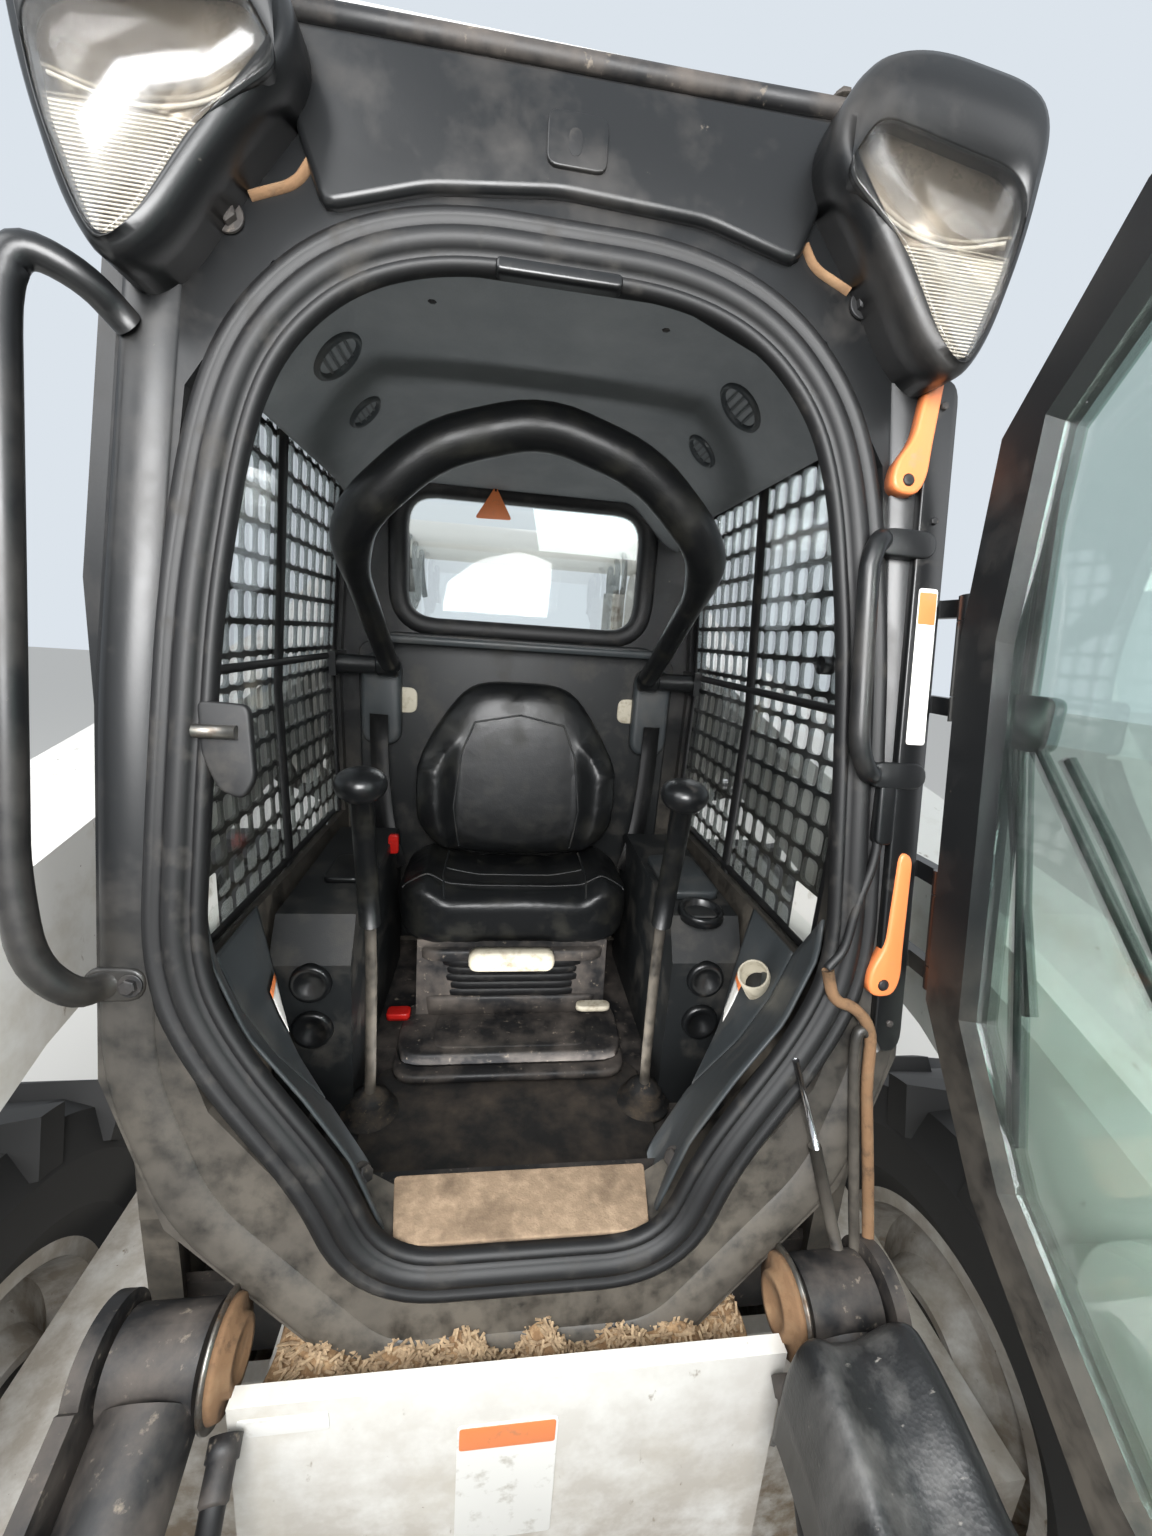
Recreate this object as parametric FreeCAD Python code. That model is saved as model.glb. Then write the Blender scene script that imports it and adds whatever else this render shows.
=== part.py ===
import FreeCAD, Part
import math
import os

# Skid steer loader, millimetres. x to the machine's left, y to its rear, z up.
# While modelling, y is measured from the front face of the cab's sill; the last
# step moves everything so that the origin lies under the middle of the machine.
V = FreeCAD.Vector

# Wheels
wheelbase = 1126
frontAxleY = 160
tyreRadius = 415
tyreWidth = 300
lugHeight = 24
lugCount = 14
lugWidth = 42
rimRadius = 212

# Lower frame
groundClearance = 206
tubHalf = 450
tubWall = 30
tubTop = 640
tubFront = 80
panelHalf = tubHalf - 200
panelFront = -60
panelTop = 820
chaincaseOuter = tubHalf + 150
trackHalf = tubHalf + 315
rearBoxHalf = tubHalf + 255
rearBoxFront = frontAxleY + wheelbase + tyreRadius + 19
rearBoxDepth = 320
rearBoxRear = rearBoxFront + rearBoxDepth
rearBoxBottom = 450
rearBoxTop = 700
bumperDepth = 40
tieDownRadius = 22

# Uprights and lift arms
pivotY = rearBoxRear - 90
pivotZ = 1650
plateThick = 30
uprightInner = tubHalf + 5
uprightOuter = rearBoxHalf
uprightHead = 80
pivotPinRadius = 35
pinGap = 0.3
beamInner = tubHalf + 50
beamOuter = beamInner + 160
legInner = tubHalf + 20
legOuter = legInner + 140
kneeY = pivotY - 650
kneeZ = pivotZ - 290
shoulderY = 120
shoulderZ = 1108
elbowY = -220
elbowZ = 975
torqueY = -640
torqueZ = 420
torqueRadius = 60
rearTubeY = pivotY + 60
rearTubeZ = pivotZ + 150
rearTubeRadius = 70
liftBaseY = pivotY - 110
liftBaseZ = 760
liftEyeY = liftBaseY - 790
liftEyeZ = 1115
liftPinRadius = 22
liftBoreRadius = 45
liftX = beamInner + 80
liftBarrelLength = 820

# Tool carrier and bucket
carrierY = -750
carrierZ = 250
carrierPinRadius = 28
tiltHubY = -28
tiltHubZ = 832
tiltX = panelHalf + 58
tiltBarrelRadius = 38
tiltBarrelLength = 540
earOuter = tiltX + 56
earThick = 14
tiltEyeY = -745
tiltEyeZ = 560
carrierBack = -790
carrierFront = -859.7
bucketHalf = trackHalf + tyreWidth / 2 + 25
bucketBack = -860
bucketTip = -1500
bucketHeight = 600
bucketSheet = 12
edgeThick = 20
bladeDepth = 40

# Cab
cabLean = 0.155
cabLeanFrom = panelTop
ringDepth = 72
flareEnd = 240
cabRear = rearBoxFront - 720
cabWall = 34
ringHalf = tubHalf - 68
cabBottom = tubTop
cabBottomHalf = tubHalf - 20
beltZ = 1350
beltHalf = tubHalf - 5
roofHalf = tubHalf - 45
roofZ = 1954
roofThick = 106
floorZ = tubTop - 10
sillZ = panelTop + 58
openingTop = roofZ - 149
headlinerZ = roofZ - 139
headlinerThick = 22
screenFront = 250
screenRear = cabRear - 60
screenBottom = 1030
screenTop = roofZ - 159
screenThick = 6
screenInset = 9
glassThick = 5
rearWindowHalf = cabBottomHalf - 160
rearWindowTop = roofZ - 194
rearWindowBottom = rearWindowTop - 275

# Door
hingeX = ringHalf + 8
hingeLow = sillZ + 302
hingeZ = (hingeLow, hingeLow + (roofZ - sillZ) * 65 / 269)
doorGap = 16
podDepth = 60
doorThick = 40
doorFree = 30 - ringHalf
doorBottom = panelTop + 25
doorTop = roofZ - 124
doorOpenAngle = 90
doorRail = 40

# Inside
treadZ = panelTop - 14
treadHalf = ringHalf - 182
treadDepth = 94
shelfZ = floorZ + 40
shelfFront = cabRear - 440
seatHalf = cabBottomHalf - 190
seatFront = shelfFront + 40
seatTop = shelfZ + 290
backTop = seatTop + 403
barPivotY = cabRear - 100
barPivotZ = roofZ - 574
barPivotX = cabBottomHalf - 140
barCornerY = barPivotY - 430
barCornerZ = barPivotZ + 244
barRadius = 20
knobX = cabBottomHalf - 198
knobY = shelfFront - 198
knobZ = floorZ + 623

# Engine bay
hoodFront = cabRear + 12
hoodTop = pivotZ - 230
hoodRearTop = pivotZ - 350
hoodRear = rearBoxRear - 40
hoodHalf = tubHalf - 10
sheetThick = 6
gateThick = 44
gateBottom = 580
gateTop = hoodRearTop - 30
gateHalf = tubHalf - 38
gateKnuckles = (gateTop - 500, gateTop - 110)
rearLouvre = hoodHalf - 140

shiftY = -(bucketTip + rearBoxRear + bumperDepth) / 2


def box(x0, x1, y0, y1, z0, z1):
    return Part.makeBox(x1 - x0, y1 - y0, z1 - z0, V(x0, y0, z0))


def closedFace(points):
    return Part.Face(Part.makePolygon(points + [points[0]]))


def prismX(outline, x0, x1):
    """Outline of (y, z) pairs carried from x0 to x1."""
    return closedFace([V(x0, y, z) for y, z in outline]).extrude(V(x1 - x0, 0, 0))


def prismY(outline, y0, y1):
    """Outline of (x, z) pairs carried from y0 to y1."""
    return closedFace([V(x, y0, z) for x, z in outline]).extrude(V(0, y1 - y0, 0))


def barX(y, z, radius, x0, x1):
    return Part.makeCylinder(radius, x1 - x0, V(x0, y, z), V(1, 0, 0))


def rod(start, end, radius):
    return Part.makeCylinder(radius, (end - start).Length, start, end - start)


def fused(shapes):
    first, rest = shapes[0], shapes[1:]
    return first.fuse(rest).removeSplitter() if rest else first


def mirrored(shape):
    return shape.mirror(V(0, 0, 0), V(1, 0, 0))


def symmetric(halfOutline):
    """Right half of an (x, z) outline, bottom to top, closed by its mirror image."""
    return halfOutline + [(-x, z) for x, z in reversed(halfOutline)]


def ribbon(centre, halves, x0, x1):
    """Plate whose middle line is centre, with a half depth at each point."""
    upper, lower = [], []
    for i, (y, z) in enumerate(centre):
        before = centre[max(i - 1, 0)]
        after = centre[min(i + 1, len(centre) - 1)]
        run = V(0, after[0] - before[0], after[1] - before[1]).normalize()
        upper.append((y - run.z * halves[i], z + run.y * halves[i]))
        lower.append((y + run.z * halves[i], z - run.y * halves[i]))
    return prismX(upper + lower[::-1], x0, x1)


def tubeAlong(points, radius):
    """Round bar through the points, with a ball at each inner point."""
    pieces = [rod(a, b, radius) for a, b in zip(points, points[1:])]
    pieces += [Part.makeSphere(radius, p) for p in points[1:-1]]
    return fused(pieces)


def ringFaceY(z):
    return cabLean * (z - cabLeanFrom)


def behindRingFace(offset, depth):
    """Slab parallel to the leaning front of the cab, offset to the rear."""
    low, high = cabBottom - 140, roofZ + 246
    return prismX([(ringFaceY(low) + offset, low), (ringFaceY(low) + offset + depth, low),
                   (ringFaceY(high) + offset + depth, high), (ringFaceY(high) + offset, high)],
                  -700, 700)


# Wheels

def makeRim():
    """Rim and disc of the left wheel, turned about the wheel's own axis."""
    half = tyreWidth / 2
    profile = [(40, -half + 20), (100, -half + 20), (120, -half + 60), (170, -half + 90), (190, -half + 30),
               (rimRadius, -half + 30), (rimRadius, half - 30), (rimRadius - 14, half - 30),
               (rimRadius - 26, half - 70), (rimRadius - 30, -half + 130), (150, -half + 120),
               (90, -half + 90), (70, half - 110), (30, half - 100), (0, half - 100), (0, -half + 20)]
    face = closedFace([V(x, 0, r) for r, x in profile])
    rim = face.revolve(V(0, 0, 0), V(1, 0, 0), 360)
    for i in range(8):
        a = math.radians(45 * i)
        rim = rim.fuse(Part.makeCylinder(11, 22, V(-half + 74, 135 * math.cos(a), 135 * math.sin(a)), V(1, 0, 0)))
    return rim


def makeTyre():
    """Carcass with a flat crown and two rows of slanting lugs out to the tip radius."""
    half = tyreWidth / 2
    crown = tyreRadius - lugHeight
    profile = [(rimRadius, -half + 30), (rimRadius + 40, -half + 4), (crown - 70, -half + 4), (crown - 14, -half + 30),
               (crown, -half + 70), (crown, half - 70), (crown - 14, half - 30), (crown - 70, half - 4),
               (rimRadius + 40, half - 4), (rimRadius, half - 30)]
    tyre = closedFace([V(x, 0, r) for r, x in profile]).revolve(V(0, 0, 0), V(1, 0, 0), 360)
    lug = closedFace([V(8, -lugWidth, 0), V(half, lugWidth * 0.3, 0), V(half, lugWidth * 1.3, 0), V(8, 0, 0)])
    lug = lug.extrude(V(0, 0, tyreRadius + 20))
    shell = Part.makeCylinder(tyreRadius, tyreWidth, V(-half, 0, 0), V(1, 0, 0))
    core = closedFace([V(x, 0, r - 8) for r, x in profile]).revolve(V(0, 0, 0), V(1, 0, 0), 360)
    core = core.fuse(Part.makeCylinder(crown - 60, tyreWidth, V(-half, 0, 0), V(1, 0, 0)))
    lug = lug.common(shell).cut(core)
    lugs = []
    step = 360 / lugCount
    for i in range(lugCount):
        left = lug.copy()
        left.rotate(V(0, 0, 0), V(1, 0, 0), i * step)
        right = mirrored(lug)
        right.rotate(V(0, 0, 0), V(1, 0, 0), (i + 0.5) * step)
        lugs += [left, right]
    return tyre.fuse(lugs)


def placeWheel(shape, side, axleY):
    placed = shape if side > 0 else mirrored(shape)
    return placed.translated(V(side * trackHalf, axleY, tyreRadius))


# Lower frame

def makeMainFrame():
    """Welded frame as its plates: open tub, chain cases, front panel and rear corner boxes."""
    g = pinGap
    wallIn, floorTop = tubHalf - tubWall - g, groundClearance + 20
    plates = [box(-tubHalf, tubHalf, tubFront, rearBoxFront, groundClearance, floorTop),
              box(-wallIn, wallIn, tubFront, tubFront + 20, floorTop + g, tubTop - 20),
              box(-wallIn, wallIn, rearBoxFront - 20, rearBoxFront, floorTop + g, tubTop),
              box(-wallIn, wallIn, rearBoxFront + g, rearBoxRear, rearBoxBottom, rearBoxBottom + 20),
              box(-rearBoxHalf, rearBoxHalf, rearBoxRear + g, rearBoxRear + bumperDepth, rearBoxBottom,
                  gateBottom - 25),
              box(-panelHalf, panelHalf, panelFront, panelFront + 16, groundClearance + 60, panelTop),
              box(-panelHalf + 16 + g, panelHalf - 16 - g, panelFront + 16 + g, tubFront - g, panelTop - 100,
                  panelTop - 84)]
    for y in engineBeds():
        plates.append(box(-wallIn, wallIn, y, y + 60, floorTop + g, engineBottom()))
    for side in (-1, 1):
        for low, high, y0, y1, z0, z1 in (
                (tubHalf - tubWall, tubHalf, tubFront, rearBoxFront, floorTop + g, tubTop),
                (tubHalf + g, chaincaseOuter, frontAxleY - 200, frontAxleY + wheelbase + 220, 290, 545),
                (panelHalf - 16, panelHalf, panelFront + 16 + g, tubFront - g, groundClearance + 60, panelTop - 84)):
            x0, x1 = sorted((side * low, side * high))
            plates.append(box(x0, x1, y0, y1, z0, z1))
        x0, x1 = sorted((side * (tubHalf - tubWall), side * rearBoxHalf))
        corner = box(x0, x1, rearBoxFront + g, rearBoxRear, rearBoxBottom, rearBoxTop)
        plates.append(corner.cut(Part.makeCylinder(tieDownRadius, 400, V(side * (rearBoxHalf - 60), rearBoxRear - 60,
                                                                         rearBoxBottom - 100), V(0, 0, 1))))
    return Part.makeCompound(plates)


def engineBottom():
    return groundClearance + 150


def engineBeds():
    return (rearBoxFront - 480, rearBoxFront - 160)


def makeEngine():
    half = tubHalf - 180
    return box(-half, half, cabRear + 200, rearBoxFront - 60, engineBottom() + pinGap, hoodTop - 340)


def makeAxles():
    """The four stub axles, from the chain case to the wheels."""
    end = trackHalf - tyreWidth / 2 + 20 - pinGap
    stubs = []
    for y in (frontAxleY, frontAxleY + wheelbase):
        for side in (-1, 1):
            x0, x1 = sorted((side * (chaincaseOuter + pinGap), side * end))
            stubs.append(barX(y, tyreRadius, 88, x0, x1))
    return Part.makeCompound(stubs)


# Uprights

def makeUpright():
    outline = [(rearBoxFront + 10, rearBoxTop), (rearBoxRear, rearBoxTop), (pivotY + 92, pivotZ - 350),
               (pivotY + uprightHead, pivotZ), (pivotY - uprightHead, pivotZ), (pivotY - 130, pivotZ - 350),
               (rearBoxFront + 10, rearBoxTop + 250)]
    plates = []
    for x0 in (uprightInner, uprightOuter - plateThick):
        plates.append(prismX(outline, x0, x0 + plateThick))
        plates.append(barX(pivotY, pivotZ, uprightHead, x0, x0 + plateThick))
    plates.append(box(uprightInner, uprightOuter, rearBoxRear - 40, rearBoxRear - 10, rearBoxTop, pivotZ - 470))
    plates.append(barX(pivotY, pivotZ, pivotPinRadius, uprightInner, uprightOuter + 14))
    plates.append(barX(liftBaseY, liftBaseZ, liftPinRadius, uprightInner, uprightOuter + 8))
    return fused(plates)


# Lift arms

def makeArm():
    """Left beam and leg with the lift cylinder's bracket."""
    beamLine = [(pivotY, pivotZ), (kneeY, kneeZ), (shoulderY, shoulderZ), (elbowY, elbowZ)]
    beam = ribbon(beamLine, (95, 105, 92, 92), beamInner, beamOuter)
    beam = beam.fuse(barX(pivotY, pivotZ, 95, beamInner, beamOuter))
    leg = ribbon([(elbowY + 40, elbowZ + 4), (elbowY - 40, elbowZ - 70), (torqueY, torqueZ), (carrierY, carrierZ)],
                 (90, 92, 78, 56), legInner, legOuter)
    leg = leg.fuse([barX(carrierY, carrierZ, 56, legInner, legOuter),
                    barX(elbowY + 20, elbowZ - 6, 90, legInner, beamOuter)])
    arm = beam.fuse(leg)
    bracket = [(liftEyeY - 200, liftEyeZ + 120), (liftEyeY - 42, liftEyeZ - 40), (liftEyeY + 42, liftEyeZ - 40),
               (liftEyeY + 170, liftEyeZ + 170)]
    for x0 in (beamInner + 4, beamOuter - 22):
        arm = arm.fuse(prismX(bracket, x0, x0 + 18))
    for x0, x1 in ((beamInner + 21, liftX - 39), (liftX + 39, beamOuter - 21)):
        arm = arm.fuse(barX(liftEyeY, liftEyeZ, 30, x0, x1))
    arm = arm.cut(barX(pivotY, pivotZ, pivotPinRadius + pinGap, beamInner - 1, beamOuter + 1))
    arm = arm.cut(barX(carrierY, carrierZ, carrierPinRadius + pinGap, legInner - 1, legOuter + 1))
    return arm


def makeTiltEar():
    """Plate that rises from the cross tube to the tilt cylinder's hub, with the hub's pin."""
    ear = prismX([(torqueY - 40, torqueZ + 10), (tiltHubY - 130, tiltHubZ - 8), (tiltHubY - 48, tiltHubZ + 26),
                  (tiltHubY + 30, tiltHubZ - 46), (tiltHubY - 90, tiltHubZ - 150), (torqueY + 50, torqueZ - 40)],
                 earOuter - earThick, earOuter)
    ear = ear.fuse(barX(tiltHubY, tiltHubZ, 50, earOuter - earThick, earOuter))
    ear = ear.cut(barX(torqueY, torqueZ, torqueRadius + pinGap, earOuter - earThick - 1, earOuter + 1))
    return ear.fuse(barX(tiltHubY, tiltHubZ, 20, tiltX - 46, earOuter))


def makeLiftArms():
    arm = makeArm()
    pieces = [arm, mirrored(arm),
              barX(torqueY, torqueZ, torqueRadius, -legOuter + 10, legOuter - 10),
              barX(rearTubeY, rearTubeZ, rearTubeRadius, -beamOuter, beamOuter)]
    for side in (-1, 1):
        x0, x1 = sorted((side * beamInner, side * beamOuter))
        pieces.append(prismX([(pivotY - 60, pivotZ + 60), (pivotY + 60, pivotZ + 60),
                              (rearTubeY + 44, rearTubeZ), (rearTubeY - 44, rearTubeZ + 10)], x0, x1))
    arms = fused(pieces)
    for side in (-1, 1):
        x0, x1 = sorted((side * (beamInner - 1), side * (beamOuter + 1)))
        arms = arms.cut(barX(pivotY, pivotZ, pivotPinRadius + pinGap, x0, x1))
    return arms


def cylinder(x, base, eye, width, boreRadius, barrelLength, eyeRadius, basePin, retract):
    """Barrel with its base eye, and rod with its far eye, in the plane at x."""
    b, e = V(x, base[0], base[1]), V(x, eye[0], eye[1])
    along = (e - b).normalize()
    half = width / 2
    barrel = rod(b + along * (basePin + 12), b + along * barrelLength, boreRadius)
    barrel = barrel.fuse(rod(b + along * (barrelLength - 40), b + along * barrelLength, boreRadius + 4))
    barrel = barrel.fuse(barX(base[0], base[1], boreRadius + 2, x - half, x + half))
    barrel = barrel.cut(barX(base[0], base[1], basePin + pinGap, x - half - 1, x + half + 1))
    rodRadius = boreRadius * 0.5
    barrel = barrel.cut(rod(b + along * (boreRadius + 24), b + along * (barrelLength + 1), rodRadius + pinGap))
    piston = rod(b + along * (boreRadius + 30 + retract), e - along * (eyeRadius - 12), rodRadius)
    piston = piston.fuse(barX(eye[0], eye[1], eyeRadius, x - half + 6, x + half - 6))
    piston = piston.cut(barX(eye[0], eye[1], eyeRadius * 0.5, x - half, x + half))
    return barrel, piston


# Tool carrier and bucket

def makeCarrier():
    pieces = []
    for side in (-1, 1):
        for x in (legInner - 5 - 16, legOuter + 5):
            x0, x1 = sorted((side * x, side * (x + 16)))
            pieces.append(prismX([(carrierFront, 130), (carrierFront, 600), (carrierBack, 600), (carrierBack, 400),
                                  (carrierY + 34, carrierZ + 44), (carrierY + 44, carrierZ - 20), (carrierBack, 150)],
                                 x0, x1))
        x0, x1 = sorted((side * (legInner - 21), side * (legOuter + 21)))
        pieces.append(barX(carrierY, carrierZ, carrierPinRadius, x0, x1))
        pieces.append(box(x0, x1, carrierFront, carrierFront + 16, 130, 640))
        for x in (tiltX - 48, tiltX + 32):
            x0, x1 = sorted((side * x, side * (x + 16)))
            pieces.append(prismX([(carrierFront, 470), (carrierFront, 610), (tiltEyeY - 10, tiltEyeZ + 42),
                                  (tiltEyeY + 36, tiltEyeZ), (tiltEyeY - 10, tiltEyeZ - 42)], x0, x1))
    pieces.append(box(-legOuter - 21, legOuter + 21, carrierFront, carrierFront + 16, 470, 620))
    pieces.append(box(-legOuter - 21, legOuter + 21, carrierFront, carrierFront + 44, 604, 620))
    pieces.append(box(-legOuter - 21, legOuter + 21, carrierFront, carrierFront + 16, 130, 200))
    return fused(pieces)


def makeBucket():
    t = bucketSheet
    heelRadius = 130
    outer = [V(0, bucketTip + bladeDepth, 0), V(0, bucketBack - heelRadius, 0)]
    a = V(0, bucketBack - heelRadius, 0)
    m = V(0, bucketBack - heelRadius + heelRadius * math.sin(math.pi / 4),
          heelRadius - heelRadius * math.cos(math.pi / 4))
    b = V(0, bucketBack, heelRadius)
    top = V(0, bucketBack, bucketHeight - 40)
    lip = V(0, bucketBack - 110, bucketHeight)
    lipIn = V(0, bucketBack - 114, bucketHeight - t)
    topIn = V(0, bucketBack - t, bucketHeight - 44 - t / 2)
    bIn = V(0, bucketBack - t, heelRadius)
    r = heelRadius - t
    mIn = V(0, bucketBack - heelRadius + r * math.sin(math.pi / 4), heelRadius - r * math.cos(math.pi / 4))
    aIn = V(0, bucketBack - heelRadius, t)
    tipIn = V(0, bucketTip + bladeDepth, t)
    wire = Part.Wire([Part.LineSegment(outer[0], a).toShape(), Part.Arc(a, m, b).toShape(),
                      Part.LineSegment(b, top).toShape(), Part.LineSegment(top, lip).toShape(),
                      Part.LineSegment(lip, lipIn).toShape(), Part.LineSegment(lipIn, topIn).toShape(),
                      Part.LineSegment(topIn, bIn).toShape(), Part.Arc(bIn, mIn, aIn).toShape(),
                      Part.LineSegment(aIn, tipIn).toShape(), Part.LineSegment(tipIn, outer[0]).toShape()])
    sheet = Part.Face(wire).extrude(V(2 * bucketHalf, 0, 0)).translated(V(-bucketHalf, 0, 0))
    cheek = [(bucketTip + 60, 2), (bucketBack - heelRadius, 2), (bucketBack - 40, 46), (bucketBack - 4, heelRadius),
             (bucketBack - 4, bucketHeight - 44), (bucketBack - 110, bucketHeight - 4), (bucketTip + 330, 300)]
    cheeks = [prismX(cheek, -bucketHalf, -bucketHalf + t), prismX(cheek, bucketHalf - t, bucketHalf)]
    return fused([sheet] + cheeks)


def makeEdge():
    heel = bucketTip + bladeDepth - pinGap
    blade = [(bucketTip, 0), (heel, 0), (heel, edgeThick), (bucketTip + 14, edgeThick)]
    return prismX(blade, -bucketHalf, bucketHalf)


# Cab

def cabHalf(inset):
    return [(cabBottomHalf - inset, cabBottom), (beltHalf - inset, beltZ), (roofHalf - inset, roofZ)]


def openingHalf(grow):
    """Half of the door opening's outline, grown all round by a margin."""
    w = ringHalf + grow
    return [(ringHalf - 252 + grow * 0.5, sillZ - grow), (w - 187, sillZ + 40), (w - 90, sillZ + 152),
            (w - 52, sillZ + 252), (w - 52, openingTop - 345), (w - 70, openingTop - 155), (w - 137, openingTop - 50),
            (ringHalf - 262 + grow * 0.5, openingTop + grow)]


def flare(inset):
    """Plan view of the cab, which widens from the ring to its full width."""
    low = ringHalf + 4 - inset
    full = beltHalf + 20 - inset
    plan = [(low, -400), (low, 70), (full, flareEnd), (full, 1200), (-full, 1200), (-full, flareEnd), (-low, 70),
            (-low, -400)]
    low = cabBottom - 140
    return closedFace([V(x, y, low) for x, y in plan]).extrude(V(0, 0, roofZ + 246 - low))


def makeCabFrame():
    ringOutline = symmetric([(ringHalf - 232, sillZ - 132), (ringHalf - 53, sillZ + 43), (ringHalf, sillZ + 185),
                             (ringHalf, roofZ - 564), (ringHalf - 20, roofZ - 254), (ringHalf - 37, roofZ)])
    ring = prismY(ringOutline, -200, 600).common(behindRingFace(0, ringDepth))
    ring = ring.cut(prismY(symmetric(openingHalf(0)), -200, 700))
    shell = prismY(symmetric(cabHalf(0)), -200, cabRear)
    hollow = prismY(symmetric([(cabBottomHalf - cabWall, cabBottom - 1), (beltHalf - cabWall, beltZ),
                               (roofHalf - cabWall, roofZ - 40)]), -300, cabRear - cabWall)
    shell = shell.common(flare(0)).cut(hollow.common(flare(cabWall)))
    front = behindRingFace(ringDepth - 700, 700)
    shell = shell.cut(front)
    shell = shell.cut(box(-500, 500, -300, tubFront, 500, 860))
    shell = shell.cut(box(-rearWindowHalf, rearWindowHalf, cabRear - 100, cabRear + 1,
                          rearWindowBottom, rearWindowTop))
    for side in (-1, 1):
        x0, x1 = sorted((side * 300, side * 600))
        window = prismX([(screenFront, screenBottom), (screenRear, screenBottom),
                         (screenRear, screenTop - 60), (screenRear - 60, screenTop), (screenFront, screenTop)], x0, x1)
        shell = shell.cut(window)
    return fused([ring, shell])


def makeCabFloor():
    """Pan under the operator's feet with its toe board, and the shelf that carries the seat."""
    halfWidth = cabBottomHalf - cabWall - pinGap
    back = cabRear - cabWall - pinGap
    pan = box(-halfWidth, halfWidth, tubFront + 24, back, floorZ, floorZ + 12)
    toe = box(-halfWidth, halfWidth, tubFront + 24, tubFront + 36, floorZ, shelfZ + 68)
    step = box(-halfWidth, halfWidth, shelfFront, shelfFront + 12, floorZ, shelfZ)
    shelf = box(-halfWidth, halfWidth, shelfFront, back, shelfZ - 12, shelfZ)
    sillPlate = box(-140, 140, 8, tubFront + 36, shelfZ + 67, shelfZ + 75.7)
    sill = box(-treadHalf, treadHalf, ringDepth + 2, ringDepth + 2 + treadDepth, shelfZ + 67, treadZ)
    return fused([pan, toe, step, shelf, sillPlate, sill]).common(flare(cabWall + pinGap))


def makeRoof():
    slab = prismX([(ringFaceY(roofZ) + 2, roofZ), (cabRear + 20, roofZ), (cabRear + 20, roofZ + 20),
                   (cabRear - 60, roofZ + roofThick), (330, roofZ + roofThick), (ringFaceY(roofZ) + 24, roofZ + 26)],
                  -roofHalf + 4, roofHalf - 4)
    return slab


def makeHeadliner():
    half = roofHalf - cabWall - 26
    return box(-half, half, ringFaceY(headlinerZ) + ringDepth + 4, cabRear - cabWall - 2,
               headlinerZ, headlinerZ + headlinerThick)


def lampPod():
    """Left work lamp housing, a bent form that stands proud of the ring's upper corner."""
    shape = [(-41, -247), (-14, -209), (13, -124), (30, -29), (10, 4), (-92, 18), (-146, 1), (-177, -69), (-117, -155),
             (-77, -222)]
    outline = [(ringHalf + x, roofZ + z) for x, z in shape]
    return prismY(outline, -100, 400).common(behindRingFace(-podDepth, podDepth - pinGap))


def sideSheet(inset, thick, side):
    """Flat sheet that fills a side window, set in from the leaning wall's outer face."""
    lean = (beltHalf - roofHalf) / (roofZ - beltZ)
    shapes = []
    for low, high, slope in ((screenBottom + 0.3, beltZ, -(beltHalf - cabBottomHalf) / (beltZ - cabBottom)),
                             (beltZ, screenTop - 0.3, lean)):
        xa = beltHalf - inset - slope * (low - beltZ)
        xb = beltHalf - inset - slope * (high - beltZ)
        outline = [(xa, low), (xa - thick, low), (xb - thick, high), (xb, high)]
        shapes.append(prismY([(side * x, z) for x, z in outline], screenFront + 0.3, screenRear - 0.3))
    sheet = fused(shapes)
    corner = prismX([(screenRear - 62, screenTop + 1), (screenRear + 1, screenTop + 1),
                     (screenRear + 1, screenTop - 62)], -600, 600)
    return sheet.cut(corner)


def makeScreen(side):
    sheet = sideSheet(screenInset, screenThick, side)
    rows, columns = 8, 4
    pitchY = (screenRear - screenFront - 60) / columns
    pitchZ = (screenTop - screenBottom - 60) / rows
    cuts = []
    for i in range(columns):
        for j in range(rows):
            y = screenFront + 30 + i * pitchY
            z = screenBottom + 30 + j * pitchZ
            if y + pitchY > screenRear - 80 and z + pitchZ > screenTop - 80:
                continue
            cuts.append(box(-600, 600, y + 8, y + pitchY - 8, z + 8, z + pitchZ - 8))
    return sheet.cut(cuts)


def makeRearGlass():
    return box(-rearWindowHalf + 0.3, rearWindowHalf - 0.3, cabRear - 26, cabRear - 26 + glassThick,
               rearWindowBottom + 0.3, rearWindowTop - 0.3)


# Door

def doorAxis():
    point = V(hingeX, ringFaceY(doorBottom) - doorGap - doorThick / 2, doorBottom)
    return point, V(0, cabLean, 1).normalize()


def doorOutline(margin):
    """Outline of the closed door, seen along y, from the free side to the hinge side."""
    right, left = hingeX - 12 - margin, doorFree + margin
    low, high = doorBottom + margin, doorTop - margin
    foot, corner, cheek = ringHalf - 252, ringHalf - 192 - margin * 0.3, doorBottom + 165 + margin * 0.6
    return [(-foot, low), (foot, low), (corner, low + 30), (ringHalf - 74 - margin * 0.6, cheek),
            (right, doorBottom + 305), (right, doorTop - 350), (right - 26, doorTop - 180),
            (ringHalf - 130 - margin * 0.5, high - 60), (foot, high), (-foot, high),
            (132 - ringHalf + margin * 0.5, high - 60), (left + 22, doorTop - 180), (left, doorTop - 350),
            (left, doorBottom + 305), (82 - ringHalf + margin * 0.6, cheek), (-corner, low + 30)]


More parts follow.
